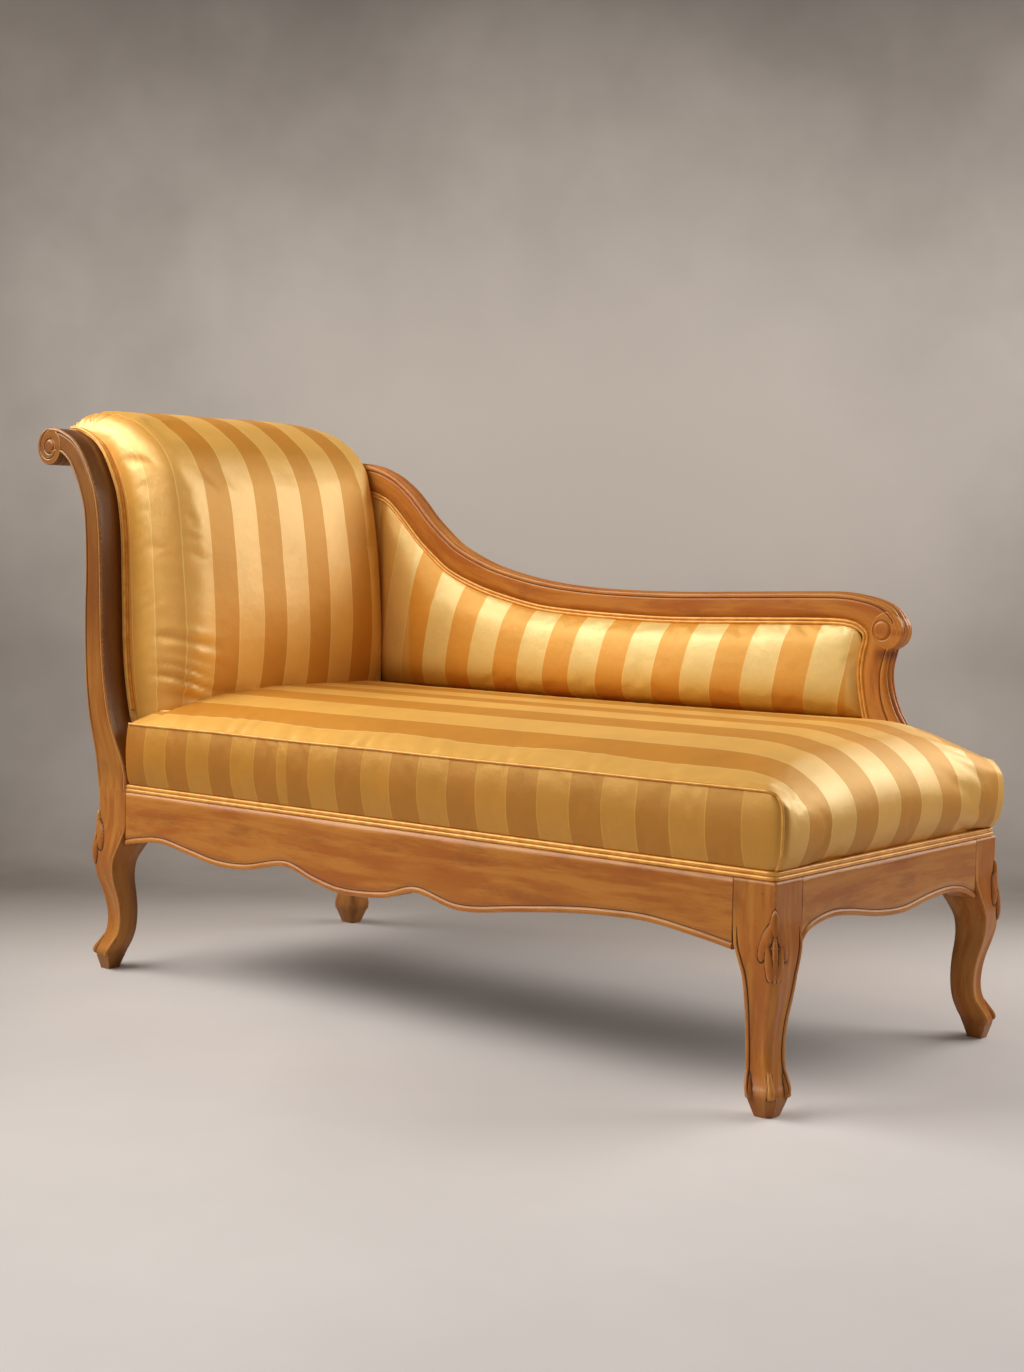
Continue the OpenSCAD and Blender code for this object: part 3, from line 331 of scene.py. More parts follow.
class Nodes:
    """Adds shader nodes to a tree; a value given for an input is linked or set as fits."""

    def __init__(self, tree):
        self.tree = tree

    def add(self, kind, inputs=None, **settings):
        node = self.tree.nodes.new("ShaderNode" + kind)
        for key, value in settings.items():
            setattr(node, key, value)
        self.feed(node, inputs or {})
        return node

    def feed(self, node, inputs):
        for key, value in inputs.items():
            if isinstance(value, bpy.types.NodeSocket):
                self.tree.links.new(value, node.inputs[key])
            else:
                node.inputs[key].default_value = value

    def math(self, operation, *values):
        return self.add("Math", dict(enumerate(values)), operation=operation).outputs[0]

    def times(self, a, b):
        return self.math("MULTIPLY", a, b)

    def plus(self, a, b):
        return self.math("ADD", a, b)

    def line(self, value, gain, start):
        """The value times its gain, from a start."""
        return self.math("MULTIPLY_ADD", value, gain, start)

    def mix(self, factor, a, b):
        return self.add("Mix", {0: factor, 6: a, 7: b}, data_type="RGBA").outputs[2]

    def ramp(self, value, low, high):
        """0 to 1 from low to high, level at both ends."""
        return self.add("MapRange", {0: value, 1: low, 2: high}, clamp=True,
                        interpolation_type="SMOOTHSTEP").outputs[0]

    def noise(self, vector, scale, detail=3.0, rough=0.5):
        return self.add("TexNoise", {"Vector": vector, "Scale": scale, "Detail": detail,
                                     "Roughness": rough}).outputs["Fac"]

    def vector(self, operation, a, b, output=0):
        return self.add("VectorMath", {0: a, 1: b}, operation=operation).outputs[output]

    def stretch(self, vector, amounts):
        return self.vector("MULTIPLY", vector, amounts)

    def streaks(self, vector, amounts, detail, rough=0.5):
        """Noise drawn out along the axes with the smaller amounts."""
        return self.noise(self.stretch(vector, amounts), 1.0, detail, rough)

    def combine(self, *values):
        return self.add("CombineXYZ", dict(enumerate(values))).outputs[0]

    def split(self, vector):
        return self.add("SeparateXYZ", {0: vector}).outputs

    def place(self):
        return self.add("TexCoord").outputs["Object"]

    def attribute(self, name, output="Fac"):
        return self.add("Attribute", attribute_name=name).outputs[output]

    def bump(self, height, distance, strength):
        return self.add("Bump", {"Height": height, "Distance": distance,
                                 "Strength": strength}).outputs[0]


def new_group(name, inputs, outputs):
    """A group's nodes, with its input sockets and its output node."""
    tree = bpy.data.node_groups.new(name, "ShaderNodeTree")
    for label, kind, *value in inputs:
        socket = tree.interface.new_socket(label, in_out="INPUT", socket_type=kind)
        if value:
            socket.default_value = value[0]
    for label, kind in outputs:
        tree.interface.new_socket(label, in_out="OUTPUT", socket_type=kind)
    given = tree.nodes.new("NodeGroupInput").outputs
    return Nodes(tree), given, tree.nodes.new("NodeGroupOutput")


FLOAT, COLOUR, VECTOR = "NodeSocketFloat", "NodeSocketColor", "NodeSocketVector"

# %% Wood group


def make_wood_group():
    n, given, out = new_group(
        "wood grain and wear",
        [("Grain", VECTOR), ("Wear", FLOAT, 0.0), ("Light", COLOUR), ("Mid", COLOUR),
         ("Dark", COLOUR), ("Worn", COLOUR), ("Groove", COLOUR), ("Shade", FLOAT, 0.0)],
        [("Color", COLOUR), ("Roughness", FLOAT), ("Height", FLOAT)])
    grain = given["Grain"]
    wobble = n.streaks(grain, (9, 9, 3), 2.0)
    bent = n.vector("ADD", grain, n.stretch(n.combine(wobble, wobble), (0.012, 0.012, 0)))
    figure = n.streaks(bent, (48, 48, 6), 4.0, 0.6)
    pores = n.streaks(bent, (900, 900, 26), 2.0, 0.6)
    mottle = n.streaks(grain, (22, 22, 9), 4.0, 0.6)
    stain = n.streaks(grain, (7, 7, 4), 3.0)
    chips = n.noise(grain, 260.0, 3.0, 0.7)
    specks = n.noise(grain, 140.0, 2.0, 0.8)
    edge = n.plus(given["Wear"], n.line(chips, 0.9, -0.45))
    worn = n.times(n.ramp(edge, 0.3, 0.75), 0.6)
    groove = n.times(n.ramp(given["Wear"], -0.07, -0.36), 0.85)
    base = given["Mid"]
    for amount, colour in (
            (n.ramp(figure, 0.38, 0.62), "Light"),
            (n.times(n.ramp(mottle, 0.52, 0.74), 0.4), "Dark"),
            (n.times(n.ramp(stain, 0.45, 0.7), 0.4), "Light"),
            (n.times(n.ramp(pores, 0.6, 0.75), 0.4), "Dark"),
            (given["Shade"], "Dark"), (worn, "Worn"), (groove, "Groove"),
            (n.times(n.ramp(specks, 0.71, 0.78), 0.5), "Groove")):
        base = n.mix(amount, base, given[colour])
    height = n.line(pores, -0.5, n.times(figure, 0.35))
    n.feed(out, {
        "Color": base,
        "Roughness": n.plus(n.line(mottle, 0.22, 0.24), n.times(groove, 0.2)),
        "Height": n.plus(height, n.times(chips, n.times(worn, 0.8)))})
    return n.tree


wood_group = make_wood_group()
print("group", wood_group.name)

# %% Satin group
# The cover's own map gives stripes across and metres along. A whole number is a stripe's
# edge, even stripes are the deep gold and odd ones the pale, glossier gold.
# Painted shade: where a cover's shade is set, its colour is multiplied down to this deeper,
# more saturated tint, standing in for the shade low down and between the cushions.
satin_shade_tint = (0.58, 0.42, 0.13)


def make_satin_group():
    n, given, out = new_group(
        "striped satin",
        [("Map", VECTOR), ("Place", VECTOR), ("Pale", COLOUR), ("Deep", COLOUR),
         ("Line", COLOUR), ("Line width", FLOAT, 0.025), ("Fade", FLOAT, 0.0),
         ("Shade", FLOAT, 0.0)],
        [("Color", COLOUR), ("Roughness", FLOAT), ("Height", FLOAT), ("Gleam", FLOAT)])
    place = given["Place"]
    count, along, _ = n.split(given["Map"])
    across = n.plus(count, n.line(n.noise(place, 14.0, 2.0), 0.06, -0.03))
    stripe = n.ramp(n.math("FRACT", n.times(across, 0.5)), 0.497, 0.503)
    # Flat stripes draws the stripes towards one even pale gold. On the head's near end and the
    # seat's front border it is painted sheen, which washes the stripes out there.
    keep = n.math("SUBTRACT", 1.0, given["Fade"])
    pale = n.line(stripe, keep, n.times(given["Fade"], 0.6))
    inside = n.math("FRACT", across)
    to_edge = n.math("MINIMUM", inside, n.math("SUBTRACT", 1.0, inside))
    line = n.ramp(to_edge, given["Line width"], n.times(given["Line width"], 0.4))
    slub = n.noise(n.combine(n.times(count, 60.0), n.times(along, 45.0)), 1.0, 3.0, 0.6)
    tone = n.noise(place, 11.0, 5.0, 0.62)
    creases = n.noise(place, 38.0, 3.0, 0.5)
    weave = n.add("TexWave", {
        "Vector": n.combine(n.times(count, 12.0), n.times(along, 900.0)),
        "Scale": 1.0}, bands_direction="Y").outputs["Fac"]
    colour = n.mix(pale, given["Deep"], given["Pale"])
    colour = n.mix(n.times(line, 0.6), colour, given["Line"])
    bright = n.plus(n.line(slub, 0.16, 0.72), n.times(tone, 0.42))
    lit = n.add("VectorMath", {0: colour, "Scale": bright}, operation="SCALE").outputs[0]
    shaded_colour = n.stretch(lit, satin_shade_tint)
    height = n.times(weave, 0.03)
    for value, depth in ((slub, 0.06), (creases, 0.85), (line, 0.1)):
        height = n.plus(height, n.times(value, depth))
    # Painted shade also dulls the gleam, the satin's specular tint.
    unshaded = n.line(given["Shade"], -0.8, 1.0)
    n.feed(out, {
        "Color": n.mix(given["Shade"], lit, shaded_colour),
        "Roughness": n.plus(n.line(pale, -0.10, 0.50), n.line(slub, 0.10, -0.05)),
        "Height": height,
        "Gleam": n.times(n.line(pale, 0.68, 0.32), unshaded)})
    return n.tree


satin_group = make_satin_group()
print("group", satin_group.name)

# %% [markdown]
# ## Materials
# Old cherry wood, stained warm and polished, is honey brown on its flats, nearly black in
# its grooves and pale where hands have worn its edges. The satin is a fine warp-faced
# weave, so it shines softly; its pale stripes shine more than the deep ones.

# %% Wood materials
worn_edge = srgb(208, 144, 78)
dark_groove = srgb(44, 24, 12)


def new_material(name):
    material = bpy.data.materials.new(name)
    material.use_nodes = True
    material.node_tree.nodes.clear()
    n = Nodes(material.node_tree)
    shader = n.add("BsdfPrincipled")
    n.add("OutputMaterial", {"Surface": shader.outputs[0]})
    return material, n, shader


def make_wood(name, light, mid, dark, stretch=None):
    """Wood along a loft's own grain, or along a solid's place stretched by given amounts."""
    material, n, shader = new_material(name)
    if stretch:
        inputs = {"Grain": n.stretch(n.place(), stretch)}
    else:
        inputs = {"Grain": n.attribute("grain", "Vector"), "Wear": n.attribute("wear"),
                  "Shade": n.attribute("shade")}
    wood = n.add("Group", {**inputs, "Light": light, "Mid": mid, "Dark": dark,
                           "Worn": worn_edge, "Groove": dark_groove},
                 node_tree=wood_group).outputs
    n.feed(shader, {
        "Base Color": wood["Color"], "Roughness": wood["Roughness"],
        "Normal": n.bump(wood["Height"], 0.0006, 0.7), "Coat Weight": 0.06,
        "Coat Roughness": 0.3, "Specular Tint": (1.0, 0.82, 0.6, 1.0)})
    return material


honey = (srgb(190, 122, 48), srgb(170, 95, 33), srgb(110, 58, 22))
# Russet's deep dark is the colour that the posts' and head scrolls' painted shade goes to.
russet = (srgb(184, 120, 50), srgb(165, 96, 36), srgb(70, 32, 12))
show_wood = make_wood("polished cherry", *honey)
post_wood = make_wood("polished cherry dark", *russet)
plain_wood = make_wood("frame beech", srgb(205, 170, 122), srgb(188, 150, 103),
                       srgb(150, 112, 72), stretch=(0.25, 1, 1))
print("woods ready")

# %% Satin materials
stripe_w = 0.0602
stripe_start = 20.0
satin_colours = {"Pale": srgb(240, 178, 78), "Deep": srgb(206, 130, 28),
                 "Line": srgb(255, 214, 130)}
# The side panel's satin is a lighter copy: painted light, for the broad highlight along it.
side_lit_colours = {"Pale": srgb(240, 200, 112), "Deep": srgb(224, 148, 40),
                    "Line": srgb(255, 220, 140)}
dull_gleam = (1.0, 0.72, 0.22, 1.0)
full_gleam = (1.0, 0.93, 0.58, 1.0)


def make_satin(name, colours=satin_colours, axis=None):
    """Striped satin on a cover's own map, or with its stripes counted along an axis."""
    material, n, shader = new_material(name)
    place = n.place()
    if axis is None:
        fabric = n.add("UVMap", uv_map="fabric").outputs[0]
    else:
        parts = n.split(place)
        fabric = n.combine(n.line(parts[axis], 1 / stripe_w, stripe_start), parts[2])
    satin = n.add("Group", {"Map": fabric, "Place": place, "Fade": n.attribute("flat_stripes"),
                            "Shade": n.attribute("shade"), **colours},
                  node_tree=satin_group).outputs
    n.feed(shader, {
        "Base Color": satin["Color"], "Roughness": satin["Roughness"],
        "Normal": n.bump(satin["Height"], 0.002, 0.6), "Metallic": 0.05,
        "Specular IOR Level": 1.0, "IOR": 1.9,
        "Specular Tint": n.mix(satin["Gleam"], dull_gleam, full_gleam),
        "Sheen Weight": 0.08, "Sheen Roughness": 0.35, "Sheen Tint": srgb(255, 216, 130)})
    return material


def make_cord(name, colour, deep):
    """A cord in its satin sleeve: smooth, a little uneven, with fine ribs across."""
    material, n, shader = new_material(name)
    tone = n.noise(n.place(), 60.0, 2.0)
    ribs = n.noise(n.combine(n.times(n.attribute("along"), 420.0)), 1.0, 2.0)
    n.feed(shader, {
        "Base Color": n.mix(n.ramp(tone, 0.3, 0.7), deep, colour),
        "Roughness": n.line(tone, 0.15, 0.28), "Normal": n.bump(ribs, 0.0004, 0.4),
        "Metallic": 0.2, "Sheen Weight": 0.15, "Sheen Roughness": 0.4})
    return material


striped_satin = make_satin("striped satin")
side_lit_satin = make_satin("side satin, painted lighter", side_lit_colours)
welt_satin = make_cord("welt satin", srgb(236, 172, 76), srgb(216, 148, 56))
print("satins ready")

# %% Materials of the inside


def make_weave(name, colour, deep, scale, depth):
    """A plain weave of crossing threads on the piece's own place."""
    material, n, shader = new_material(name)
    place = n.place()
    waves = [n.add("TexWave", {"Vector": place, "Scale": scale, "Distortion": 2.0,
                               "Detail": 1.0}, bands_direction=d).outputs["Fac"]
             for d in ("X", "Y")]
    woven = n.times(*waves)
    n.feed(shader, {"Base Color": n.mix(woven, deep, colour), "Roughness": 0.9,
                    "Normal": n.bump(woven, depth, 0.8)})
    return material


def make_hair(name):
    material, n, shader = new_material(name)
    strands = n.streaks(n.place(), (40, 400, 400), 4.0, 0.7)
    n.feed(shader, {"Base Color": n.mix(strands, srgb(30, 22, 16), srgb(96, 74, 52)),
                    "Roughness": 0.85, "Normal": n.bump(strands, 0.003, 1.0)})
    return material


def make_steel(name, colour):
    material, n, shader = new_material(name)
    grime = n.noise(n.place(), 90.0, 4.0, 0.6)
    n.feed(shader, {"Base Color": n.mix(n.ramp(grime, 0.5, 0.75), colour, srgb(86, 66, 50)),
                    "Roughness": n.line(grime, 0.3, 0.3), "Metallic": 1.0})
    return material


jute = make_weave("jute webbing", srgb(176, 142, 92), srgb(120, 92, 54), 120.0, 0.0008)
burlap = make_weave("burlap", srgb(168, 138, 92), srgb(104, 80, 48), 160.0, 0.0008)
dust_cloth = make_weave("black dust cloth", srgb(46, 44, 43), srgb(22, 21, 21), 300.0, 0.0003)
curled_hair = make_hair("curled hair")
wire_steel = make_steel("spring wire", srgb(150, 150, 152))
print("materials", len(bpy.data.materials))

# %% [markdown]
# ## Legs and head posts
# A cabriole leg is sawn from a square blank in two directions, then rounded on its outer
# arris and beaded along its two inner edges. The head post is the same leg growing into an
# S-shaped stile. Both are one section, lofted up a table of listed rows.

# %% Section of a leg or post
# Rows: height, outward swing, thickness, bead, arris, channel and flatness of the arris.
# The height is a share of the rails' height. The swing, thickness and channel are shares of
# the leg's square, and the arris is a share of the section.
leg_shares = [
    [0, -0.015, 0.37, 0, 0.30, 0, 1], [0.045, 0.06, 0.50, 0, 0.34, 0, 1],
    [0.084, 0.115, 0.61, 0, 0.32, 0, 1], [0.102, 0.10, 0.62, 0.3, 0.29, 0, 0.2],
    [0.125, 0.065, 0.63, 0.8, 0.28, 0.01, 0], [0.175, -0.05, 0.59, 1, 0.28, 0.025, 0],
    [0.225, -0.118, 0.567, 1, 0.28, 0.03, 0], [0.28, -0.138, 0.567, 1, 0.28, 0.03, 0],
    [0.344, -0.117, 0.59, 1, 0.28, 0.03, 0], [0.41, -0.06, 0.628, 1, 0.28, 0.025, 0],
    [0.479, 0.032, 0.687, 1, 0.28, 0.02, 0], [0.54, 0.095, 0.742, 1, 0.26, 0.01, 0],
    [0.605, 0.126, 0.81, 1, 0.23, 0.005, 0], [0.66, 0.124, 0.905, 1, 0.19, 0, 0],
    [0.72, 0.086, 0.99, 1, 0.14, 0, 0], [0.80, 0.015, 1, 0, 0.08, 0, 0],
    [0.86, 0, 1, 0, 0.06, 0, 0], [1, 0, 1, 0, 0.06, 0, 0]]
leg_places = np.concatenate([np.arange(0, 0.20, 0.006), np.arange(0.20, 0.58, 0.013),
                             np.arange(0.58, 0.90, 0.0045), np.linspace(0.90, 1, 7)])
bead_w = 0.0058
bead_h = 0.0020
groove_d = 0.0012
# Lobes of the leaf: place across and up, half length, half width, tilt and lift. The tilt is
# a share of a quarter turn, the lift of the leaf's height, the rest of its half width.
leaf_half_w = 0.026
leaf_h = 0.0050
leaf_mid = 0.243
leaf_lobe_shares = [
    [0, 1.25, 0.75, 0.22, 0, 1.0], [0.30, 0.72, 0.95, 0.23, 0.24, 1.0],
    [0.64, 0.15, 0.95, 0.24, 0.17, 0.9], [0.36, -0.72, 1.10, 0.21, -0.07, 0.8],
    [0, -0.4, 1.5, 0.14, 0, 0.7]]
petal_foot_share = 0.088
petal_top_share = 0.19
petal_half_w = 0.0056
petal_h = 0.0055
petal_hollow = 0.0024
leaf_crease = 0.0008


def half_round(d, start, width, height):
    """A half-round bead on a face, at a distance d from its edge."""
    t = (np.asarray(d) - start) / width * 2 - 1
    return height * np.sqrt(np.clip(1 - t ** 2, 0, None))


def edge_profile(d, length, bead, channel):
    """Face height near its inner edge: a bead, its groove and a shallow channel."""
    d = np.asarray(d)
    proud = bead * half_round(d, 0, bead_w, bead_h)
    proud -= bead * groove_d * gauss(d - bead_w - 0.0008, 0.0009)
    along = np.clip((d - bead_w) / max(length - bead_w, 1e-4), 0, 1)
    return proud - channel * np.sin(np.pi * along)


def leaf_relief(w, z):
    """A leaf carved on the knee's arris: w runs round the arris and z up the leg."""
    across = np.abs(w) / leaf_half_w
    up = (z - leaf_mid) / leaf_half_w
    lift = 0
    crease = 0
    for a, b, half_l, half_w_share, tilt, height in leaf_lobe_shares:
        turn = tilt * np.pi / 2
        run = (up - b) * np.cos(turn) - (across - a) * np.sin(turn)
        side = (across - a) * np.cos(turn) + (up - b) * np.sin(turn)
        taper = half_w_share * (1.15 - 0.35 * run / half_l)
        r2 = (run / half_l) ** 2 + (side / taper) ** 2
        lift = np.maximum(lift, height * np.sqrt(np.clip(1 - r2, 0, None)))
        crease = np.maximum(crease, gauss(r2 - 1.2, 0.25))
    return leaf_h * lift - leaf_crease * crease * (lift <= 0)


def petal_relief(w, z, edge):
    """Three tongues over the toe: on the arris and near both inner edges."""
    t = (z / rail_h - petal_foot_share) / (petal_top_share - petal_foot_share)
    grow = np.clip(1 - t, 0, 1) ** 0.45 * (t < 1)
    half = petal_half_w * (0.35 + 0.65 * grow)
    lip = soft_step(1 + t / 0.10)
    beside_edge = edge - petal_half_w * 0.75
    lift = 0
    for centre in (0, beside_edge, -beside_edge):
        shape = np.sqrt(np.clip(1 - ((w - centre) / half) ** 2, 0, None))
        lift = np.maximum(lift, shape * petal_h * grow * lip)
    below = np.clip(1 - abs(t - 0.4) / 0.6, 0, 1) * np.clip(1 - lift / 0.002, 0, 1)
    return lift - petal_hollow * below


bead_steps = bead_w * np.array(
    [0, 0.05, 0.15, 0.32, 0.5, 0.68, 0.85, 0.95, 1.02, 1.14, 1.28, 1.5])
face_steps = 28
face_spread = 0.85
arris_steps = 15
turns = np.linspace(0, np.pi / 2, arris_steps + 2)[1:-1]


def leg_section(su, sv, bead, arris, channel, flat=0.0, z=0.0):
    """(x, y) from the outer corner: inner edge, one face, arris, other face, inner edge."""
    round_arc = 1 - unit(turns)
    chord = np.stack([turns, np.pi / 2 - turns], axis=1) / (np.pi / 2)
    corner = arris * (round_arc + flat * (chord - round_arc))
    faces = []
    edges = []
    for size in (sv, su):
        length = size - arris
        rest = bead_steps[-1] + (length - bead_steps[-1]) * np.linspace(
            0, 1, face_steps + 1)[1:] ** face_spread
        d = np.concatenate([bead_steps, rest])
        w = length - d + arris * np.pi / 4
        proud = edge_profile(d, length, bead, channel)
        if z > 0:
            proud = proud + leaf_relief(w, z) + petal_relief(w, z, w[0])
        faces.append((d, proud))
        edges.append(w[0])
    if z > 0:
        w = arris * (turns - np.pi / 4)
        lift = leaf_relief(w, z) + petal_relief(w, z, min(edges))
        corner = corner - lift[:, None] * unit(turns)
    (d_a, proud_a), (d_b, proud_b) = faces
    side_a = np.stack([-proud_a, sv - d_a], axis=1)
    side_b = np.stack([su - d_b, -proud_b], axis=1)[::-1]
    back = [[su + 0.0004, 0.0012], [su, 0.25 * sv], [su, 0.6 * sv], [su, sv],
            [0.66 * su, sv], [0.33 * su, sv]]
    return np.vstack([side_a, corner, side_b, back])


def leg_rings(su, sv):
    rows = rows_at(smooth_rows(leg_shares), leg_places)
    rings = []
    for z, swing, thick, bead, arris, channel, flat in rows:
        ring = leg_section(thick * su, thick * sv, np.clip(bead, 0, 1),
                           max(arris, 0.03) * thick * leg_sq, max(channel, 0) * leg_sq,
                           np.clip(flat, 0, 1), z * rail_h) - swing * leg_sq
        rings.append(np.column_stack([ring, np.full(len(ring), z * rail_h)]))
    return np.array(rings)


def toe_dirt(rings):
    """The toes are darkened by floor polish and dust."""
    return 0.45 * soft_step((0.045 - rings[..., 2]) / 0.02)


def grain_of(rings):
    """Across and along coordinates for a loft: places in the first ring's frame."""
    centre = rings.mean(axis=1)
    along = run_lengths(centre)
    flat = rings - centre[:, None, :]
    return np.stack([flat[..., 0] + flat[..., 2] * 0.3, flat[..., 1],
                     np.broadcast_to(along[:, None], rings.shape[:2])], axis=-1)


def place(rings, x0, sx, sy):
    """Rings into the frame: the outer corner at x0, inward along sx and from side sy."""
    return np.stack([x0 + sx * rings[..., 0], sy * (half_w - rings[..., 1]), rings[..., 2]],
                    axis=-1)


def finish_wood(obj, material, nodes):
    obj.data.materials.append(material)
    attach(obj, "root")
    if nodes:
        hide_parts(*nodes)
    return obj


for label, sy in both_sides:
    rings = place(leg_rings(leg_sq, leg_sq), foot_x, -1, sy)
    leg = wood_loft(f"foot_leg_{label}_carved", rings, grain_of(rings), toe_dirt(rings))
    finish_wood(leg, show_wood, [f"foot_leg_{label}"])
print("foot legs", len(leg.data.polygons), "faces each")

# %% Head posts
stile_back_shares = [
    [-0.016, 0.010], [-0.027, 0.039], [-0.060, 0.096], [-0.110, 0.144],
    [-0.170, 0.203], [-0.209, 0.266], [-0.231, 0.331], [-0.242, 0.410],
    [-0.242, 0.498], [-0.231, 0.588], [-0.236, 0.678], [-0.258, 0.760],
    [-0.297, 0.799], [-0.352, 0.836], [-0.418, 0.869], [-0.489, 0.898],
    [-0.555, 0.915], [-0.632, 0.927], [-0.709, 0.930], [-0.791, 0.924]]
block_front_shares = [[1, 0.010], [1, 0.042], [0.896, 0.081], [0.649, 0.135]]
stile_front_shares = [
    [1.43, -0.09], [1.34, -0.05], [1.27, -0.02], [1.205, 0], [1.16, 0],
    [1.07, 0], [1.045, 0], [1.02, -0.09], [0.977, 0.27], [0.91, 0.41],
    [0.84, 0.52], [0.75, 0.61], [0.59, 0.75], [0.41, 0.84], [0.16, 1.0], [-0.09, 1.15]]
post_foot = np.array([head_x, rail_h])
block_rows = len(block_front_shares)
stile_back = post_foot + np.array(stile_back_shares) * [lean, post_rise]
block_front = post_foot + np.array(block_front_shares) * [block_l, post_rise]
stile_front = stile_back[block_rows:] + stile_w * np.array(stile_front_shares)
post_front = np.vstack([block_front, stile_front])
scroll_c = stile_front[-1] - [0, scroll_r]
stile_shade = 0.22
stile_shade_high = 0.34
inner_shade = 0.8


def stile_section(su, sv):
    """A stile's ring: a thin bead on its back edge and a bold double bead on its front."""
    ring = leg_section(su, sv, 0, 0.004, 0)
    count = len(bead_steps) + face_steps + arris_steps
    front = slice(count, count + len(bead_steps) + face_steps)
    d = su - ring[front, 0]
    proud = half_round(d, 0.0004, 0.0050, 0.0022) + half_round(su - d, 0.0030, 0.0036, 0.0012)
    proud -= 0.0014 * gauss(d - 0.0068, 0.0011) + 0.0007 * gauss(su - d - 0.0080, 0.0009)
    ring[front, 1] = -proud
    return ring


def post_rings():
    leg = leg_rings(block_l, leg_sq)
    leg[..., 0] += head_x
    stile = []
    for bx, bz, fx, fz in smooth_rows(np.hstack([stile_back, post_front])):
        way = np.array([fx - bx, fz - bz])
        size = np.linalg.norm(way)
        ring = stile_section(size, stile_t)
        t = ring[:, 0] / size
        stile.append(np.column_stack([bx + t * way[0], ring[:, 1], bz + t * way[1]]))
    return np.concatenate([leg, np.array(stile)])


for label, sy in both_sides:
    rings = place(post_rings(), 0, 1, sy)
    y, z = rings[..., 1], rings[..., 2]
    inner = inner_shade * (np.abs(y) < half_w - 0.001)
    outer = stile_shade + stile_shade_high * soft_step((z - 0.5) / 0.25)
    deep = np.maximum(inner, outer) * soft_step((z - rail_h) / 0.05)
    post = wood_loft(f"head_post_{label}_carved", rings, grain_of(rings),
                     np.maximum(deep, toe_dirt(rings)))
    finish_wood(post, post_wood, [f"head_post_{label}"])
print("head posts", len(post.data.polygons), "faces each")

# %% [markdown]
# ## Scrolls
# Each stile and the crest rail end in a volute: a reeded drum whose flat face carries a
# round eye, with a groove that winds into it. The face is a polar height map, its outline
# and its groove given by direction.

# %% Volutes
rim_shares = [
    (0.975, 0.0), (1.0, 0.03), (1.0, 0.11), (0.985, 0.15), (0.94, 0.185), (0.985, 0.22),
    (1.0, 0.26), (1.0, 0.38), (0.985, 0.42), (0.94, 0.455), (0.985, 0.49), (1.0, 0.54),
    (1.0, 0.84), (0.97, 0.95), (0.92, 1.0)]
face_proud = 0.0012
eye_proud = 0.0012
volute_groove_d = 0.0016
volute_groove_w = 0.0012
spiral_turns = (-720, -360, 0, 360)


def volute(name, centre, radius, y_face, depth, out, outline, groove, eye, material, dark=0.0):
    """A drum along Y with its carved face at y_face; angles in degrees seen from -Y."""
    degrees = np.linspace(0, 360, 120, endpoint=False)
    way = unit(np.radians(degrees))
    edge = radius * np.interp(degrees, *np.array(outline, float).T, period=360)
    path = np.array(groove, float)[::-1]
    eye_at = np.array(eye[:2]) * radius
    eye_r = eye[2] * radius
    rings = []
    for share in np.concatenate([np.linspace(0, 0.9, 34)[1:], [0.925, 0.95, 0.97, 0.985]]):
        r = share * edge
        flat = r[:, None] * way
        from_eye = np.hypot(*(flat - eye_at).T)
        lift = face_proud * soft_step((1 - share) / 0.06)
        for turn in spiral_turns:
            inside = (degrees + turn >= path[0, 0]) & (degrees + turn <= path[-1, 0])
            at = radius * np.interp(degrees + turn, path[:, 0], path[:, 1])
            lift = lift - volute_groove_d * inside * gauss(r - at, volute_groove_w)
        lift = lift - volute_groove_d * gauss(from_eye - eye_r, volute_groove_w)
        lift = lift + eye_proud * soft_step((eye_r - volute_groove_w - from_eye) / 0.004)
        rings.append(at_depth(flat, -lift))
    for r, t in rim_shares:
        rim = np.minimum(edge, radius) * r if t < 0.12 else np.full(len(way), radius * r)
        rings.append(at_depth(rim[:, None] * way, t * depth))
    rings = np.array(rings)
    grain = rings[..., [1, 2, 0]]
    rings[..., 1] = y_face - out * rings[..., 1]
    rings[..., [0, 2]] += centre
    return finish_wood(wood_loft(name, rings, grain, dark), material, [])


round_outline = [(0, 1), (180, 1)]
head_groove = [(440, 0.47), (400, 0.50), (350, 0.55), (300, 0.62), (250, 0.70), (200, 0.74),
               (150, 0.78), (110, 0.86), (75, 1.0)]
head_eye = (0, 0, 0.40)
# The head scrolls carry painted shade all over.
for label, sy in both_sides:
    volute(f"head_scroll_{label}", scroll_c, scroll_r, sy * half_w, stile_t, sy, round_outline,
           head_groove, head_eye, post_wood, 0.5)
print("head scrolls carved")

# %% [markdown]
# ## Seat rails
# The aprons are sawn to a flowing lower edge, which is then worked with a bead and a
# scribed line. The edge is a smooth curve through given places.

# %% Aprons
front_edge_shares = [
    [0, 0.808], [0.027, 0.75], [0.073, 0.70], [0.128, 0.792], [0.185, 0.892],
    [0.242, 0.883], [0.314, 0.742], [0.367, 0.892], [0.419, 0.992], [0.489, 0.95],
    [0.543, 0.808], [0.615, 0.95], [0.707, 0.833], [0.777, 0.742], [0.831, 0.70],
    [0.889, 0.692], [0.952, 0.775], [1, 0.86]]
end_edge_shares = [
    [0, 0.80], [0.043, 0.65], [0.144, 0.567], [0.25, 0.592], [0.413, 0.70],
    [0.556, 0.733], [0.70, 0.658], [0.82, 0.625], [0.917, 0.67], [1, 0.80]]
back_edge_shares = [
    [0, 0.80], [0.03, 0.67], [0.08, 0.61], [0.5, 0.60], [0.92, 0.61], [0.97, 0.67],
    [1, 0.80]]
front_l = frame_l - block_l - leg_sq
end_l = frame_w - 2 * leg_sq
rail_bead = 0.0085
joint_w = 0.0013
apron_step = 0.006


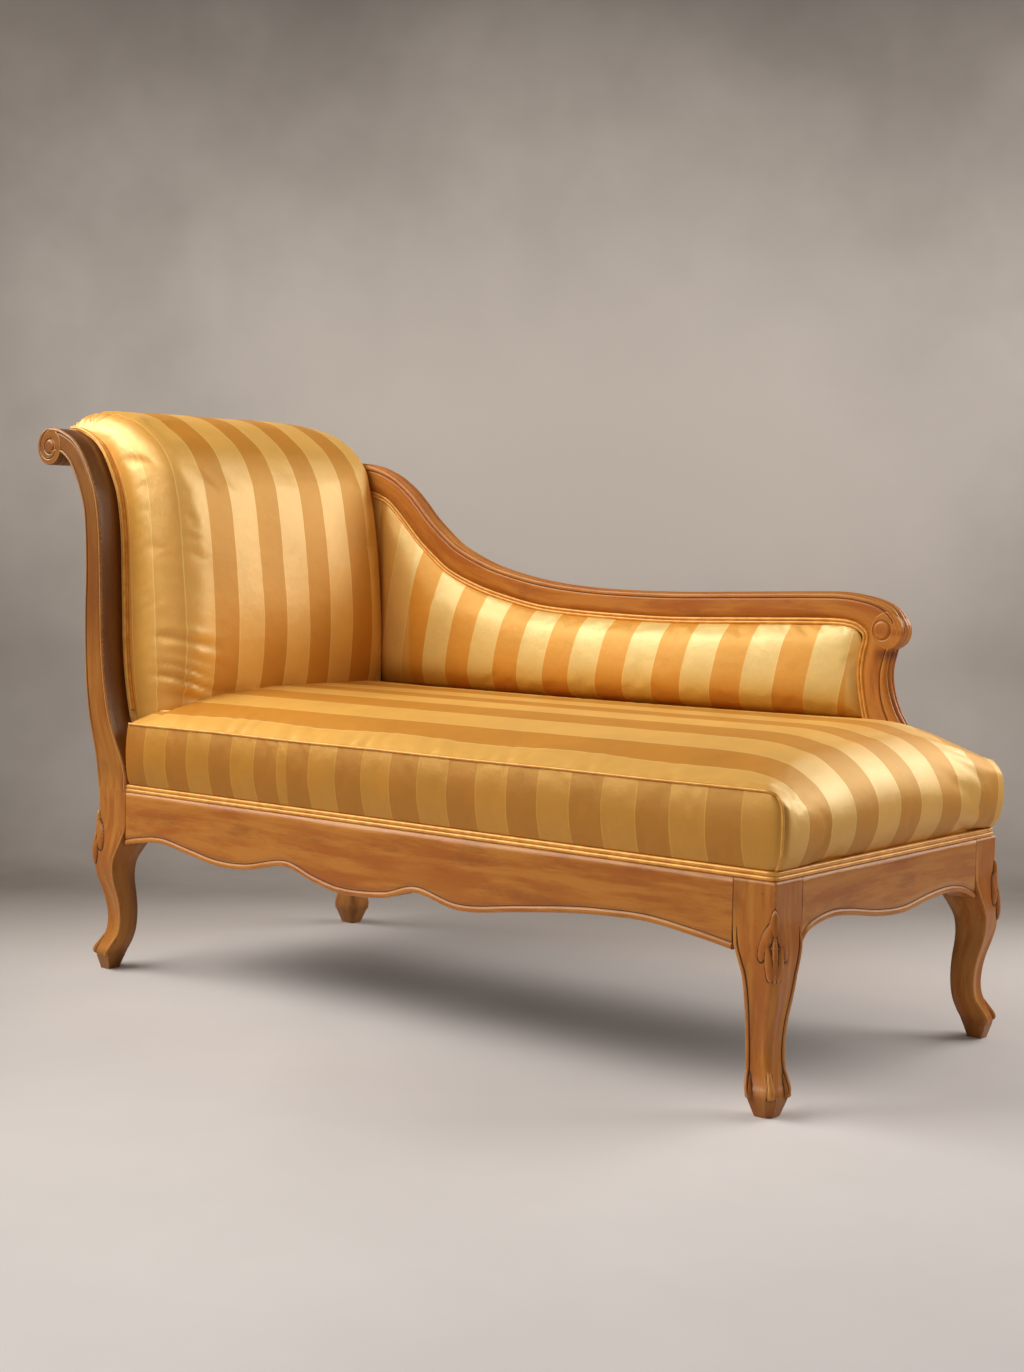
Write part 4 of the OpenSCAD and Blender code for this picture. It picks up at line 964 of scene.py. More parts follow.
def apron_section(z):
    """(depth, height) from the rail's top face down its front, bead, under side and back."""
    face = [[0, rail_h - t * (rail_h - z - 2.2 * rail_bead)] for t in np.linspace(0, 1, 8)]
    groove = [[0.0002, z + 1.35 * rail_bead], [0.0012, z + 1.22 * rail_bead],
              [0.0003, z + 1.08 * rail_bead]]
    turn = np.linspace(0.12, 1.0, 9) * np.pi
    bead = [[0.0008 - 0.0026 * math.sin(a), z + rail_bead * (1 + math.cos(a)) / 2]
            for a in turn]
    under = [[0.35 * rail_t, z + 0.0004], [0.7 * rail_t, z], [rail_t, z],
             [rail_t, z + 0.4 * (rail_h - z)], [rail_t, rail_h], [0.5 * rail_t, rail_h]]
    return np.array(face + groove + bead + under)


def apron_rings(length, shares):
    rows = even_rows(smooth_rows(shares, 12) * [length, apron_d], apron_step)
    near_ends = np.array([joint_w, joint_w * 1.2])
    places = np.sort(np.concatenate([rows[:, 0], near_ends, length - near_ends]))
    rows = rows_at(rows, places)
    rings = []
    for x, depth in rows:
        section = apron_section(rail_h - depth)
        rings.append(np.column_stack([np.full(len(section), x), section]))
    return np.array(rings)


def apron(name, shares, length, corner, along, inward):
    """An apron drawn from its corner, with unit vectors along it and into the couch."""
    rings = apron_rings(length, shares)
    world = np.array(corner) + rings[..., :1] * along + rings[..., 1:2] * inward
    world[..., 2] = rings[..., 2]
    obj = wood_loft(f"{name}_moulded", world, rings[..., [1, 2, 0]])
    to_end = np.minimum(rings[..., 0], length - rings[..., 0]).ravel()
    wear = obj.data.attributes["wear"].data
    values = read(wear, "value")
    values[:len(to_end)] -= 1.0 * (to_end < joint_w * 1.1)
    wear.foreach_set("value", values)
    return finish_wood(obj, show_wood, [name])


to_foot, to_back = np.eye(3)[:2]
block_x = head_x + block_l
end_y = leg_sq - half_w
apron("front_apron", front_edge_shares, front_l, (block_x, -half_w, 0), to_foot, to_back)
apron("back_apron", back_edge_shares, front_l, (block_x, half_w, 0), to_foot, -to_back)
apron("foot_apron", end_edge_shares, end_l, (foot_x, end_y, 0), to_back, -to_foot)
apron("head_apron", end_edge_shares, end_l, (head_x, end_y, 0), to_back, to_foot)
print("aprons moulded")

# %% [markdown]
# ## Crest rail and stump
# The crest rail is sawn in one long sweep, reeded along its front edge and rounded over its
# top. The reeds run on round the scroll, and a stump carries it at the foot end.

# %% Crest rail and arm stump
crest_shares = [
    [-0.055, 0.919, 0.02, -1.21], [-0.021, 0.911, -0.17, -1.31], [0.024, 0.892, -0.19, -1.21],
    [0.068, 0.876, -0.12, -1.21], [0.097, 0.846, -0.17, -1.19], [0.123, 0.803, -0.36, -1.14],
    [0.15, 0.738, -0.57, -1.12], [0.171, 0.67, -0.67, -1.05], [0.192, 0.595, -0.64, -1.05],
    [0.223, 0.505, -0.6, -1.05], [0.253, 0.435, -0.5, -1.1], [0.303, 0.36, -0.4, -1.07],
    [0.352, 0.311, -0.26, -1.07], [0.409, 0.273, -0.14, -1.1], [0.466, 0.249, -0.02, -1.05],
    [0.536, 0.235, 0, -1.02], [0.64, 0.232, 0, -1.05], [0.753, 0.243, 0, -1.05],
    [0.852, 0.254, -0.05, -1.05], [0.909, 0.257, -0.17, -1.05], [0.944, 0.243, -0.52, -1],
    [0.968, 0.222, -0.9, -0.95], [0.986, 0.189, -1.17, -0.88], [0.996, 0.143, -1.38, -0.71],
    [1, 0.092, -1.52, -0.52]]
stump_shares = [
    [-0.476, 1, 1.13], [-0.65, 0.886, 1.076], [-0.555, 0.775, 1.10], [-0.26, 0.661, 1.24],
    [0.193, 0.554, 1.49], [0.34, 0.48, 1.58], [0.37, 0.40, 1.60], [0.37, 0.20, 1.60],
    [0.37, 0, 1.60]]
# Reeded section: depth from the face and place from the outer edge, as shares.
crest_section_shares = np.array([
    [0, 1], [0, 0.75], [0, 0.5], [0, 0.33], [0.002, 0.275], [0.014, 0.258], [0.034, 0.242],
    [0.034, 0.232], [0.006, 0.214], [-0.020, 0.198], [-0.034, 0.172], [-0.036, 0.135],
    [-0.026, 0.10], [-0.002, 0.068], [0.03, 0.043], [0.065, 0.028], [0.105, 0.022],
    [0.145, 0.024], [0.185, 0.040], [0.213, 0.066], [0.229, 0.092], [0.245, 0.064],
    [0.27, 0.032], [0.30, 0.010], [0.35, -0.012], [0.42, -0.02], [0.48, -0.008],
    [0.525, 0.014], [0.555, 0.046], [0.577, 0.090], [0.60, 0.056], [0.63, 0.026],
    [0.68, 0.008], [0.74, 0.012], [0.80, 0.03], [0.86, 0.055], [0.92, 0.11], [0.965, 0.19],
    [1, 0.30], [1, 0.65], [1, 1], [0.66, 1], [0.33, 1]])
side_end_x = head_x + side_l
crest_pairs = []
for reach, high, du, dv in crest_shares:
    top = np.array([head_x + reach * side_l, stump_h + high * crest_rise])
    crest_pairs.append([*top, *(top + crest_w * np.array([du, dv]))])
stump_pairs = []
for back, high, wide in stump_shares:
    edge = np.array([side_end_x + back * crest_w, rail_h + high * (stump_h - rail_h)])
    stump_pairs.append([*edge, edge[0] - wide * crest_w, edge[1]])
crest_rows = smooth_rows(crest_pairs + [stump_pairs[0]])
stump_rows = smooth_rows(stump_pairs)
side_rows = np.vstack([crest_rows, stump_rows[1:]])
crest_pad = 0.0008
crest_scroll_c = np.array([side_end_x - crest_scroll_r, stump_h + crest_scroll_r])
reed_share = 0.275
stump_reed_share = 0.46
reed_run = 0.35
reed_overhang = -0.03


def reeded_rings(rows):
    """Rings of the rail and the stump, whose front reed stands further in down the stump."""
    deep, in_from_edge = crest_section_shares.T
    down = np.concatenate([np.zeros(len(crest_rows)), np.linspace(0, 1, len(stump_rows))[1:]])
    rings = []
    for (ox, oz, ux, uz), far in zip(rows, soft_step(down / reed_run)):
        reed = reed_share + (stump_reed_share - reed_share) * far
        v = np.interp(in_from_edge, [reed_overhang, 0, reed_share, 1], [reed_overhang, 0, reed, 1])
        rings.append(np.stack([ox + v * (ux - ox), in_y + deep * crest_t, oz + v * (uz - oz)],
                              axis=1))
    return np.array(rings)


def reeded_grain(rows):
    along = run_lengths((rows[:, :2] + rows[:, 2:]) / 2)
    across = crest_section_shares * [crest_t, crest_w]
    return np.array([np.column_stack([across, np.full(len(across), run)]) for run in along])


from_joint = np.arange(len(side_rows))[:, None] - len(crest_rows) - 1
outer = (soft_step((0.62 - crest_section_shares[:, 1]) / 0.2)
         * soft_step((0.9 - crest_section_shares[:, 0]) / 0.2))
joint_shade = 0.95 * gauss(from_joint, 2.4) * outer
side_wood = wood_loft("side_rail_and_stump", reeded_rings(side_rows), reeded_grain(side_rows),
                      joint_shade)
finish_wood(side_wood, show_wood, ["side_crest_rail", "side_arm_stump"])
crest_outline = [(-180, 0.80), (-166, 0.81), (-133, 0.83), (-99, 0.90), (-81, 0.985),
                 (-72, 1), (0, 1), (80, 1), (110, 0.90), (150, 0.80)]
crest_groove = [(108, 1.16), (91, 0.91), (69, 0.72), (40, 0.58)]
crest_eye = (-0.17, 0.02, 0.50)
volute("crest_scroll", crest_scroll_c, crest_scroll_r, in_y, crest_t + crest_pad, -1,
       crest_outline, crest_groove, crest_eye, show_wood)
print("crest rail and stump", len(side_wood.data.polygons), "faces")

# %% [markdown]
# ## Covers
# Each cover is a fine grid laid over its stuffing. Its map counts stripes across and metres
# along, so the stripes run over a roll or down a waterfall edge as sewn cloth does.

# %% Cover helpers
solver_frames = 20
cloth_settings = {
    "quality": 5, "mass": 0.25, "tension_stiffness": 25, "compression_stiffness": 12,
    "shear_stiffness": 6, "bending_stiffness": 0.5, "use_pressure": True}


def cover_map(obj, values):
    """Writes a face-corner map: stripes across, metres along."""
    layer = obj.data.uv_layers.new(name="fabric")
    layer.data.foreach_set("uv", np.asarray(values, float).ravel())


def corner_points(obj):
    """The point of each face corner."""
    return read(obj.data.loops, "vertex_index", kind=int)


def corner_faces(obj):
    """The face of each face corner."""
    total = read(obj.data.polygons, "loop_total", kind=int)
    return np.repeat(np.arange(len(total)), total)


def finish_cover(obj, nodes, material=striped_satin):
    obj.data.materials.append(material)
    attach(obj, "root")
    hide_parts(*nodes)
    return obj


def fill_cover(obj, held, pressure, cap, slack):
    """Fills a cover with the cloth solver; held points stay, none moves more than the cap."""
    scene = bpy.context.scene
    start = read(obj.data.vertices, "co", 3)
    group = obj.vertex_groups.new(name="held")
    group.add(np.flatnonzero(held).tolist(), 1.0, "REPLACE")
    cloth = obj.modifiers.new("filling", "CLOTH")
    settings = {**cloth_settings, "uniform_pressure_force": pressure, "shrink_min": -slack,
                "vertex_group_mass": group.name}
    for key, value in settings.items():
        setattr(cloth.settings, key, value)
    cloth.settings.effector_weights.gravity = 0
    cloth.collision_settings.use_collision = False
    cloth.point_cache.frame_start = 1
    cloth.point_cache.frame_end = solver_frames
    for step in range(1, solver_frames + 1):
        scene.frame_set(step)
    blown = obj.evaluated_get(bpy.context.evaluated_depsgraph_get()).data
    shift = read(blown.vertices, "co", 3) - start
    obj.modifiers.remove(cloth)
    obj.vertex_groups.clear()
    size = np.linalg.norm(shift, axis=1)[:, None] + least_weight
    at = start + shift * cap * np.tanh(size / cap) / size
    obj.data.vertices.foreach_set("co", at.ravel())
    obj.data.update()
    scene.frame_set(1)
    print("filled", obj.name, "moved up to", round(float(size.max()), 4))

# %% Seat cover
seat_gap = 0.004
seat_x0 = head_x + block_l + seat_gap
seat_x1 = foot_x - welt_t
seat_y = half_w - welt_t
crown_back = 0.090
crown_foot = 0.230
seat_round = 0.018
head_corner = 0.006
top_swell = 0.6
wall_shares = [[0, 0], [0.11, 0], [0.14, 0.45], [0.32, 0.86], [0.6, 1], [0.85, 0.85],
               [1, top_swell]]


def rise(d, reach, power):
    return 1 - (1 - np.clip(np.asarray(d) / reach, 0, 1)) ** power


def seat_top_z(x, y):
    return (rail_h + seat_wall + seat_crown * rise(seat_y + y, seat_y, 2.2)
            * rise(seat_y - y, crown_back, 3) * rise(seat_x1 - x, crown_foot, 4))


seat_mid = (seat_x0 + seat_x1) / 2
fall_r = 0.085
seam_fall_r = 0.026
cell = 0.0072


def round_off(u, v, r):
    """A square corner drawn onto a quarter round; u and v are shares of its sides."""
    return r * u * np.sqrt(1 - v * v / 2), r * v * np.sqrt(1 - u * u / 2)


def seat_plan(a, b, swell):
    """Plan of the seat at a swell, a and b running from -1 to 1, its corners rounded."""
    x0, x1 = seat_x0, seat_x1 + swell * (foot_out + welt_t)
    hx, hy = (x1 - x0) / 2, seat_y + swell * seat_swell
    x, y = a * hx, b * hy
    r = np.where(a < 0, head_corner, seat_round)
    u = np.clip((np.abs(x) - hx + r) / r, 0, 1)
    v = np.clip((np.abs(y) - hy + r) / r, 0, 1)
    over_x, over_y = round_off(u, v, r)
    corner = (u > 0) & (v > 0)
    return ((x0 + x1) / 2 + np.where(corner, np.sign(x) * (hx - r + over_x), x),
            np.where(corner, np.sign(y) * (hy - r + over_y), y))


def fall_top(y, x_edge):
    """Radius of the foot end's roll, and the place where it leaves the top."""
    inward = np.minimum(seat_y + y, 0.8 * (seat_y - y))
    r = seam_fall_r + (fall_r - seam_fall_r) * soft_step(inward / 0.16)
    return r, x_edge - r


def waterfall(x, y, share, x_edge):
    """Height at a share of the wall, and the foot end's square edge made a soft roll."""
    r, leave = fall_top(y, x_edge)
    top = seat_top_z(np.minimum(x, leave), y)
    z = rail_h + share * (top - rail_h)
    u = np.clip((x - leave) / r, 0, 1)
    v = np.clip((z - top + r) / r, 0, 1)
    over_x, over_z = round_off(u, v, r)
    near = (u > 0) & (v > 0)
    return np.where(near, leave + over_x, x), np.where(near, top - r + over_z, z)


def seat_puckers(x, y, z):
    """Small gathers in the top cover where it is sewn to the front piping."""
    d = np.clip(y + seat_y + top_swell * seat_swell, 0, None)
    near = np.clip(d / 0.004, 0, 1) * np.exp(-d / 0.030) * np.clip((seat_x1 - x) / 0.05, 0, 1)
    strokes = np.sin(2 * np.pi * (x + 0.6 * d) / 0.044 + 1.8 * np.sin(x * 23))
    strokes = strokes * (0.6 + 0.4 * np.sin(x * 41 + 1.3))
    dents = 0.0022 * np.sin(x * 17 + 0.6) * gauss(d - 0.055, 0.04)
    return z + 0.0034 * near * strokes + dents * np.clip((seat_x1 - x) / 0.1, 0, 1)


def seat_grid():
    """Points and faces of the seat's top and wall, the top's index and its plan's shares."""
    nx, ny = int((seat_x1 - seat_x0) / cell), int(2 * seat_y / cell)
    a, b = np.meshgrid(np.linspace(-1, 1, nx + 1), np.linspace(-1, 1, ny + 1), indexing="ij")
    index = np.arange(a.size).reshape(a.shape)
    loop = border(index)
    faces = grid_faces(nx + 1, ny + 1, False)[:, ::-1].tolist()

    def level(a, b, share, swell):
        x, y = seat_plan(a, b, swell)
        x, z = waterfall(x, y, share, seat_x1 + swell * (foot_out + welt_t))
        return np.stack([x, y, z], axis=-1).reshape(-1, 3)

    top = level(a, b, 1.0, top_swell)
    top[:, 2] = seat_puckers(*top.T)
    points = [top]
    pipe = [top[index[:, 0]]]
    above = loop
    for share, swell in smooth_rows(wall_shares, 4)[-2::-1]:
        ring = np.arange(len(loop)) + sum(map(len, points))
        points.append(level(a.ravel()[loop], b.ravel()[loop], share, max(swell, 0)))
        pipe.append(points[-1][nx:nx + 1])
        faces += np.stack([above, ring, np.roll(ring, -1), np.roll(above, -1)], axis=1).tolist()
        above = ring
    centre = sum(map(len, points))
    faces += [[p, centre, q] for p, q in zip(above, np.roll(above, -1))]
    points = np.vstack([*points, [seat_mid, 0, rail_h]])
    return points, faces, index, len(loop), np.vstack(pipe)


# The border is sewn in two lengths that meet at a pleat, so its stripes have two widths.
pleat_x = -0.149
top_stripe_w = 0.0655
border_stripe_w = 0.0573
foot_stripe_w = 0.0614
held_at_head = 0.03
held_at_back = 0.02
# The front border's stripes are flattened as painted sheen, and its colour deepened as painted
# shade.
border_painted_sheen = 0.25
border_shade = 0.9


def build_seat():
    points, faces, index, count, pipe = seat_grid()
    nx, ny = np.array(index.shape) - 1
    obj = mesh_object("seat_cover", points, faces)
    x, y, z = points.T
    wall = np.arange(len(points)) >= index.size
    held = (x < seat_x0 + held_at_head) | (y > seat_y - held_at_back)
    held |= wall & (z < rail_h + 0.14 * seat_wall)
    held[index[:, 0]] = True
    held[np.arange(index.size + nx, len(points) - 1, count)] = True
    fill_cover(obj, held, 5.0, 0.006, 0.004)
    face = corner_faces(obj)
    column = (face - nx * ny) % count
    on_wall = face >= nx * ny
    on_border = on_wall & (column < nx)
    on_back = on_wall & (column >= nx + ny) & (column < 2 * nx + ny)
    cx, cy, cz = points[corner_points(obj)].T
    on_front = np.where(cx < pleat_x, (cx + 0.512) / border_stripe_w,
                        (cx + 0.092) / foot_stripe_w + 8.0) + 1.0
    across = np.where(on_border, on_front, (cy + 0.0845) / top_stripe_w + 11.0)
    across = np.where(on_back, cx / stripe_w + stripe_start, across)
    cover_map(obj, np.column_stack([across, np.where(on_border | on_back, cz, cx - cz)]))
    # Painted shade: all over the front border, and on the other walls more towards the bottom.
    depth = soft_step((rail_h + 0.85 * seat_wall - z) / (0.8 * seat_wall))
    point_attribute(obj, "flat_stripes", border_painted_sheen * (wall & (y < -seat_y)))
    point_attribute(obj, "shade", border_shade * np.where(y < -seat_y - 0.001, 1, depth))
    return finish_cover(obj, ["seat_cushion"]), pipe


seat_cover, pipe_line = build_seat()
print("seat cover", len(seat_cover.data.polygons), "faces")

# %% [markdown]
# ## Head cover
# The head is stuffed in front of the stiles, rounded at its two ends and rolled over the
# top rail. It is lofted across the couch through one section that fills out from the welt.

# %% Head cover
head_full_shares = [
    [0.75, 0], [0.89, 0.31], [0.97, 0.385], [1.0, 0.42], [0.977, 0.42], [0.94, 0.42],
    [0.89, 0.385], [0.854, 0.36], [0.815, 0.42], [0.74, 0.454], [0.615, 0.446],
    [0.415, 0.44], [0.177, 0.40], [-0.04, 0.354], [-0.154, 0.246], [-0.16, 0.085],
    [-0.115, -0.01], [-0.046, -0.03], [-0.02, -0.03], [-0.01, -0.02], [0, -0.01]]
head_low = 0.417
head_set = 0.0165
scroll_set = 0.0075
roll_gap = 0.004
roll_way = unit(np.radians([130, 175, 220, 250, 270]))
stile_rows = len(stile_front)
sets = np.interp(np.arange(stile_rows), [stile_rows - 4, stile_rows - 1], [head_set, scroll_set])
head_base = np.vstack([stile_front, scroll_c + scroll_r * roll_way])
head_full = head_base + head_pad * np.array(head_full_shares)
head_in = np.vstack([stile_front - sets[:, None] * right_of(stile_front),
                     scroll_c + (top_rail_r + roll_gap) * roll_way])
head_lines = even_rows(smooth_rows(np.hstack([head_base, head_full, head_in])), 0.0085)


def head_ring(y, full):
    """Cover line at depth y: up from behind the seat, round the roll and back inside."""
    base, face, inner = head_lines[:, :2], head_lines[:, 2:4], head_lines[:, 4:]
    line = base + full * (face - base)
    tuck = 0.04 * soft_step((seat_x0 + 0.01 - line[0, 0]) / 0.012)
    line[0, 1] = seat_top_z(line[0, 0], y) + hair - tuck
    foot_in = (1 - full) * (block_front[-1][0] - 0.004) + full * (seat_x0 - hair)
    z_in = (1 - full) * (head_low + line[0, 1]) / 2 + full * (seat_top_z(seat_x0, y) + hair)
    skirt = np.array([[foot_in, head_low], [foot_in, z_in]])
    back = np.array([[inner[0, 0], head_low], [inner[0, 0], (head_low + inner[0, 1]) / 2]])
    return np.vstack([skirt, line, inner[::-1], back[::-1]])


def head_wrinkles(line, full, y):
    """Soft level folds low on the near end, and gathers where the cover turns the scroll.

    Gives the moved points and how far each one lies in a fold.
    """
    x, z = line.T
    inset = y + in_y - welt_w
    low = soft_step((0.68 - z) / 0.12) * soft_step((z - 0.46) / 0.03)
    near = soft_step(inset / 0.012) * gauss(np.clip(inset - 0.05, 0, None), 0.04)
    phase = 2 * np.pi * (z + 0.3 * inset) / 0.029 + 1.7 * np.sin(z * 43 + 25 * inset)
    lift = 0.0048 * near * low * np.sin(phase) * (0.6 + 0.4 * np.sin(z * 71 + 35 * inset))
    turn = np.arctan2(z - scroll_c[1], x - scroll_c[0])
    degrees = np.degrees(turn)
    over = soft_step((degrees - 20) / 30) * soft_step((170 - degrees) / 25)
    gathers = np.sin(turn * 24 + 1.5 * np.sin(turn * 7))
    lift = lift + 0.0055 * over * gathers * soft_step(inset / 0.008) * np.exp(
        -np.clip(inset, 0, None) / 0.045)
    dents = np.sin(z * 21 + 9 * y + 1) * np.sin(y * 16 + 2) * 0.0016 * full
    return line + right_of(line, 1e-9) * (lift + dents)[:, None], np.clip(-lift / 0.003, 0, 1)


head_fill = 0.72
far_round = 0.012
near_turns = np.radians(np.concatenate([[0, 1.5, 4, 8], np.linspace(13, 90, 14)]))
head_stripe = 7.04
level_point = 60


def head_stations():
    """(depth, fullness) from the near welt to the far one."""
    near = [(welt_w - in_y + head_round * (1 - math.cos(a)), math.sin(a) ** head_fill)
            for a in near_turns]
    far = [(in_y - hair - far_round * (1 - math.cos(a)), math.sin(a) ** head_fill)
           for a in near_turns[::-1]]
    mid = [(near[-1][0] + (far[0][0] - near[-1][0]) * s, 1 + 0.04 * math.sin(math.pi * s))
           for s in np.linspace(0, 1, 50)[1:-1]]
    return [(hair - in_y, 0.0)] + near + mid + far


def build_head():
    rings = []
    folds = []
    line_points = 2 + len(head_lines)
    for y, full in head_stations():
        ring = head_ring(y, full)
        ring[:line_points], fold = head_wrinkles(ring[:line_points], full, y)
        folds.append(np.pad(fold, (0, len(ring) - line_points)))
        rings.append(at_depth(ring, y))
    rings = np.array(rings)
    rows, cols = rings.shape[:2]
    points = rings.reshape(-1, 3)
    faces = grid_faces(rows, cols, True).tolist()
    for start in (0, (rows - 1) * cols):
        last = start + cols - 1
        faces += [[start + i, start + i + 1, last - i - 1, last - i] for i in range(cols // 2 - 1)]
    obj = mesh_object("head_cover", points, faces)
    face_outward(obj)
    level = rings[:, level_point]
    across = run_lengths(level)
    middle = np.interp(0, level[:, 1], across)
    stripes = (across - middle) / stripe_w + head_stripe
    up = run_lengths(rings[rows // 2][:, [0, 2]])
    index = corner_points(obj)
    cover_map(obj, np.column_stack([stripes[index // cols], up[index % cols]]))
    x, y, z = points.T
    # Painted sheen: the stripes are flattened towards the near end, where the cover turns away.
    point_attribute(obj, "flat_stripes", 0.75 * soft_step((0.075 - (y + in_y - welt_w)) / 0.05))
    # Painted shade: low down, over the roll's top towards the far end, and in the folds' valleys.
    low = 0.3 * soft_step((0.60 - z) / 0.13) * (1 - 0.8 * soft_step(y / 0.2))
    crown = soft_step((scroll_c[0] + 0.10 - x) / 0.08) * soft_step((y + in_y) / 0.3)
    point_attribute(obj, "shade", np.maximum(low, 0.6 * crown) + 0.45 * np.ravel(folds))
    held = np.ones((rows, cols), bool)
    held[4:-4, 10:line_points - 12] = False
    fill_cover(obj, held.ravel(), 4.0, 0.005, 0.006)
    return finish_cover(obj, ["head_cushion"])


head_cover = build_head()
print("head cover", len(head_cover.data.polygons), "faces")

# %% [markdown]
# ## Side cover
# The side is a swollen panel between the crest rail's welt, the head and the seat. It is a
# grid drawn between four edges, pushed out towards the sitter.

# %% Side cover
side_face_y = in_y + welt_t / 2
side_pad_y = side_face_y + inner_rail_t / 3
panel_z = rail_h + seat_wall + seat_crown + hair
cover_in = welt_w * 0.8
side_start = 0.085
side_sag = 0.62
side_tuck = 0.06
side_stripe_w = 0.0630
side_stripe_x = -0.321
head_flat_stripes_x = -0.428
foot_flat_stripes_x = 0.562
flat_stripes_edge = 0.004
crest_under = crest_rows[:, 2:]
welt_line = beside(crest_under[2 * row_steps:20 * row_steps], cover_in)


def stump_inner_x(z):
    rows = stump_rows[::-1]
    return np.interp(z, rows[:, 3], rows[:, 2])


panel_x0 = float(np.interp(panel_z, post_front[:14, 1], post_front[:14, 0])) + hair
panel_x1 = float(stump_inner_x(panel_z)) - cover_in
panel_top_x = stump_pairs[0][2] - cover_in
panel_corner = crest_w * 0.75


def panel_top_z(x):
    d = np.clip(x - panel_top_x + panel_corner, 0, panel_corner)
    return (np.interp(x, welt_line[:, 0], welt_line[:, 1]) - panel_corner
            + np.sqrt(np.maximum(panel_corner ** 2 - d ** 2, 0)))


def bulge(q):
    return np.sin(np.pi * np.clip(q, 0, 1)) ** 0.4


def panel_grid(s, t):
    """A plane grid drawn between the panel's four edges, at shares s along and t up."""
    bottom = np.column_stack([panel_x0 + (panel_x1 - panel_x0) * s, np.full(len(s), panel_z)])
    top_x = panel_x0 + (panel_top_x - panel_x0) * s
    top = np.column_stack([top_x, panel_top_z(top_x)])
    left = np.column_stack([np.full(len(t), panel_x0), panel_z + (top[0, 1] - panel_z) * t])
    right_z = panel_z + (top[-1, 1] - panel_z) * t
    right = np.column_stack([stump_inner_x(right_z) - cover_in, right_z])
    S, T = s[:, None, None], t[None, :, None]
    return ((1 - T) * bottom[:, None] + T * top[:, None]
            + (1 - S) * left[None] + S * right[None]
            - (1 - S) * (1 - T) * bottom[0] - S * (1 - T) * bottom[-1]
            - (1 - S) * T * top[0] - S * T * top[-1])


def build_side():
    s = np.concatenate([np.linspace(0, 0.97, 170), np.linspace(0.97, 1, 12)[1:]])
    t = (1 - np.cos(np.linspace(0, np.pi, 40))) / 2
    grid = panel_grid(s, t)
    along = bulge((s - side_start) / (1 - side_start))
    swell = side_crown * along[:, None] * bulge(t ** side_sag)[None]
    front = np.stack([grid[..., 0], side_face_y - swell, grid[..., 1]], axis=-1)
    front = np.concatenate([front[:, :1] - [0, 0, side_tuck], front], axis=1)
    rows, cols = front.shape[:2]
    index = np.arange(rows * cols).reshape(rows, cols)
    back = front.copy()
    back[..., 1] = side_pad_y
    points = np.vstack([front.reshape(-1, 3), back.reshape(-1, 3)])
    faces = grid_faces(rows, cols, False)
    rim = border(index)
    after = np.roll(rim, -1)
    sides = np.stack([rim, after, after + index.size, rim + index.size], axis=1)
    faces = np.vstack([faces, faces[:, ::-1] + index.size, sides])
    obj = mesh_object("side_cover", points, faces)
    face_outward(obj)
    cx, _, cz = points[corner_points(obj)].T
    lean_in = 0.018 * np.clip((cz - 0.60) / 0.1, -1, 2)
    cover_map(obj, np.column_stack([(cx - lean_in - side_stripe_x) / side_stripe_w, cz]))
    x, _, z = points.T
    # Painted shade: the panel darkens towards the seat.
    low = soft_step((rail_h + seat_wall + seat_crown + 0.07 - z) / 0.07)
    point_attribute(obj, "shade", low)
    # The end stripes by the head and by the stump are drawn with little contrast.
    point_attribute(obj, "flat_stripes", 0.9 * soft_step((x - foot_flat_stripes_x) / flat_stripes_edge)
                    + 0.7 * soft_step((head_flat_stripes_x - x) / flat_stripes_edge))
    held = np.ones((2, rows, cols), bool)
    held[0, 12:-1, 3:-1] = False
    fill_cover(obj, held.ravel(), 4.0, 0.004, 0.006)
    return finish_cover(obj, ["side_cushion"], side_lit_satin)


side_cover = build_side()
print("side cover", len(side_cover.data.polygons), "faces")

# %% [markdown]
# ## Welts and piping
# A double welt is two cords covered in one strip of cloth, glued where cover meets wood.
# Each is a pair of round cords swept along its seam. Geometry Nodes does the sweeping, so
# one tree with named inputs serves every welt and the piping.

# %% Cord tree
cord_sides = 14


def make_cord_tree():
    tree = bpy.data.node_groups.new("cord along a path", "GeometryNodeTree")
    ids = []
    for label, way, kind in (
            ("Geometry", "INPUT", "Geometry"), ("Radius", "INPUT", "Float"),
            ("Sides", "INPUT", "Int"), ("Cloth", "INPUT", "Material"),
            ("Geometry", "OUTPUT", "Geometry")):
        ids.append(tree.interface.new_socket(
            label, in_out=way, socket_type="NodeSocket" + kind).identifier)
    given, out = [tree.nodes.new("NodeGroup" + kind) for kind in ("Input", "Output")]
    path, store, length, profile, sweep, smooth, real, paint = [
        tree.nodes.new("GeometryNode" + kind) for kind in (
            "MeshToCurve", "StoreNamedAttribute", "SplineParameter", "CurvePrimitiveCircle",
            "CurveToMesh", "SetShadeSmooth", "RealizeInstances", "SetMaterial")]
    store.data_type = "FLOAT"
    store.domain = "POINT"
    store.inputs["Name"].default_value = "along"
    sweep.inputs["Fill Caps"].default_value = True
    for source, label, target, key in (
            (given, "Geometry", path, 0), (path, 0, store, "Geometry"),
            (length, "Length", store, "Value"), (given, "Radius", profile, "Radius"),
            (given, "Sides", profile, "Resolution"), (store, 0, sweep, "Curve"),
            (profile, 0, sweep, "Profile Curve"), (sweep, 0, smooth, "Geometry"),
            (smooth, 0, real, 0), (real, 0, paint, "Geometry"),
            (given, "Cloth", paint, "Material"), (paint, 0, out, 0)):
        tree.links.new(source.outputs[label], target.inputs[key])
    return tree, ids[1:4]


cord_tree, cord_inputs = make_cord_tree()


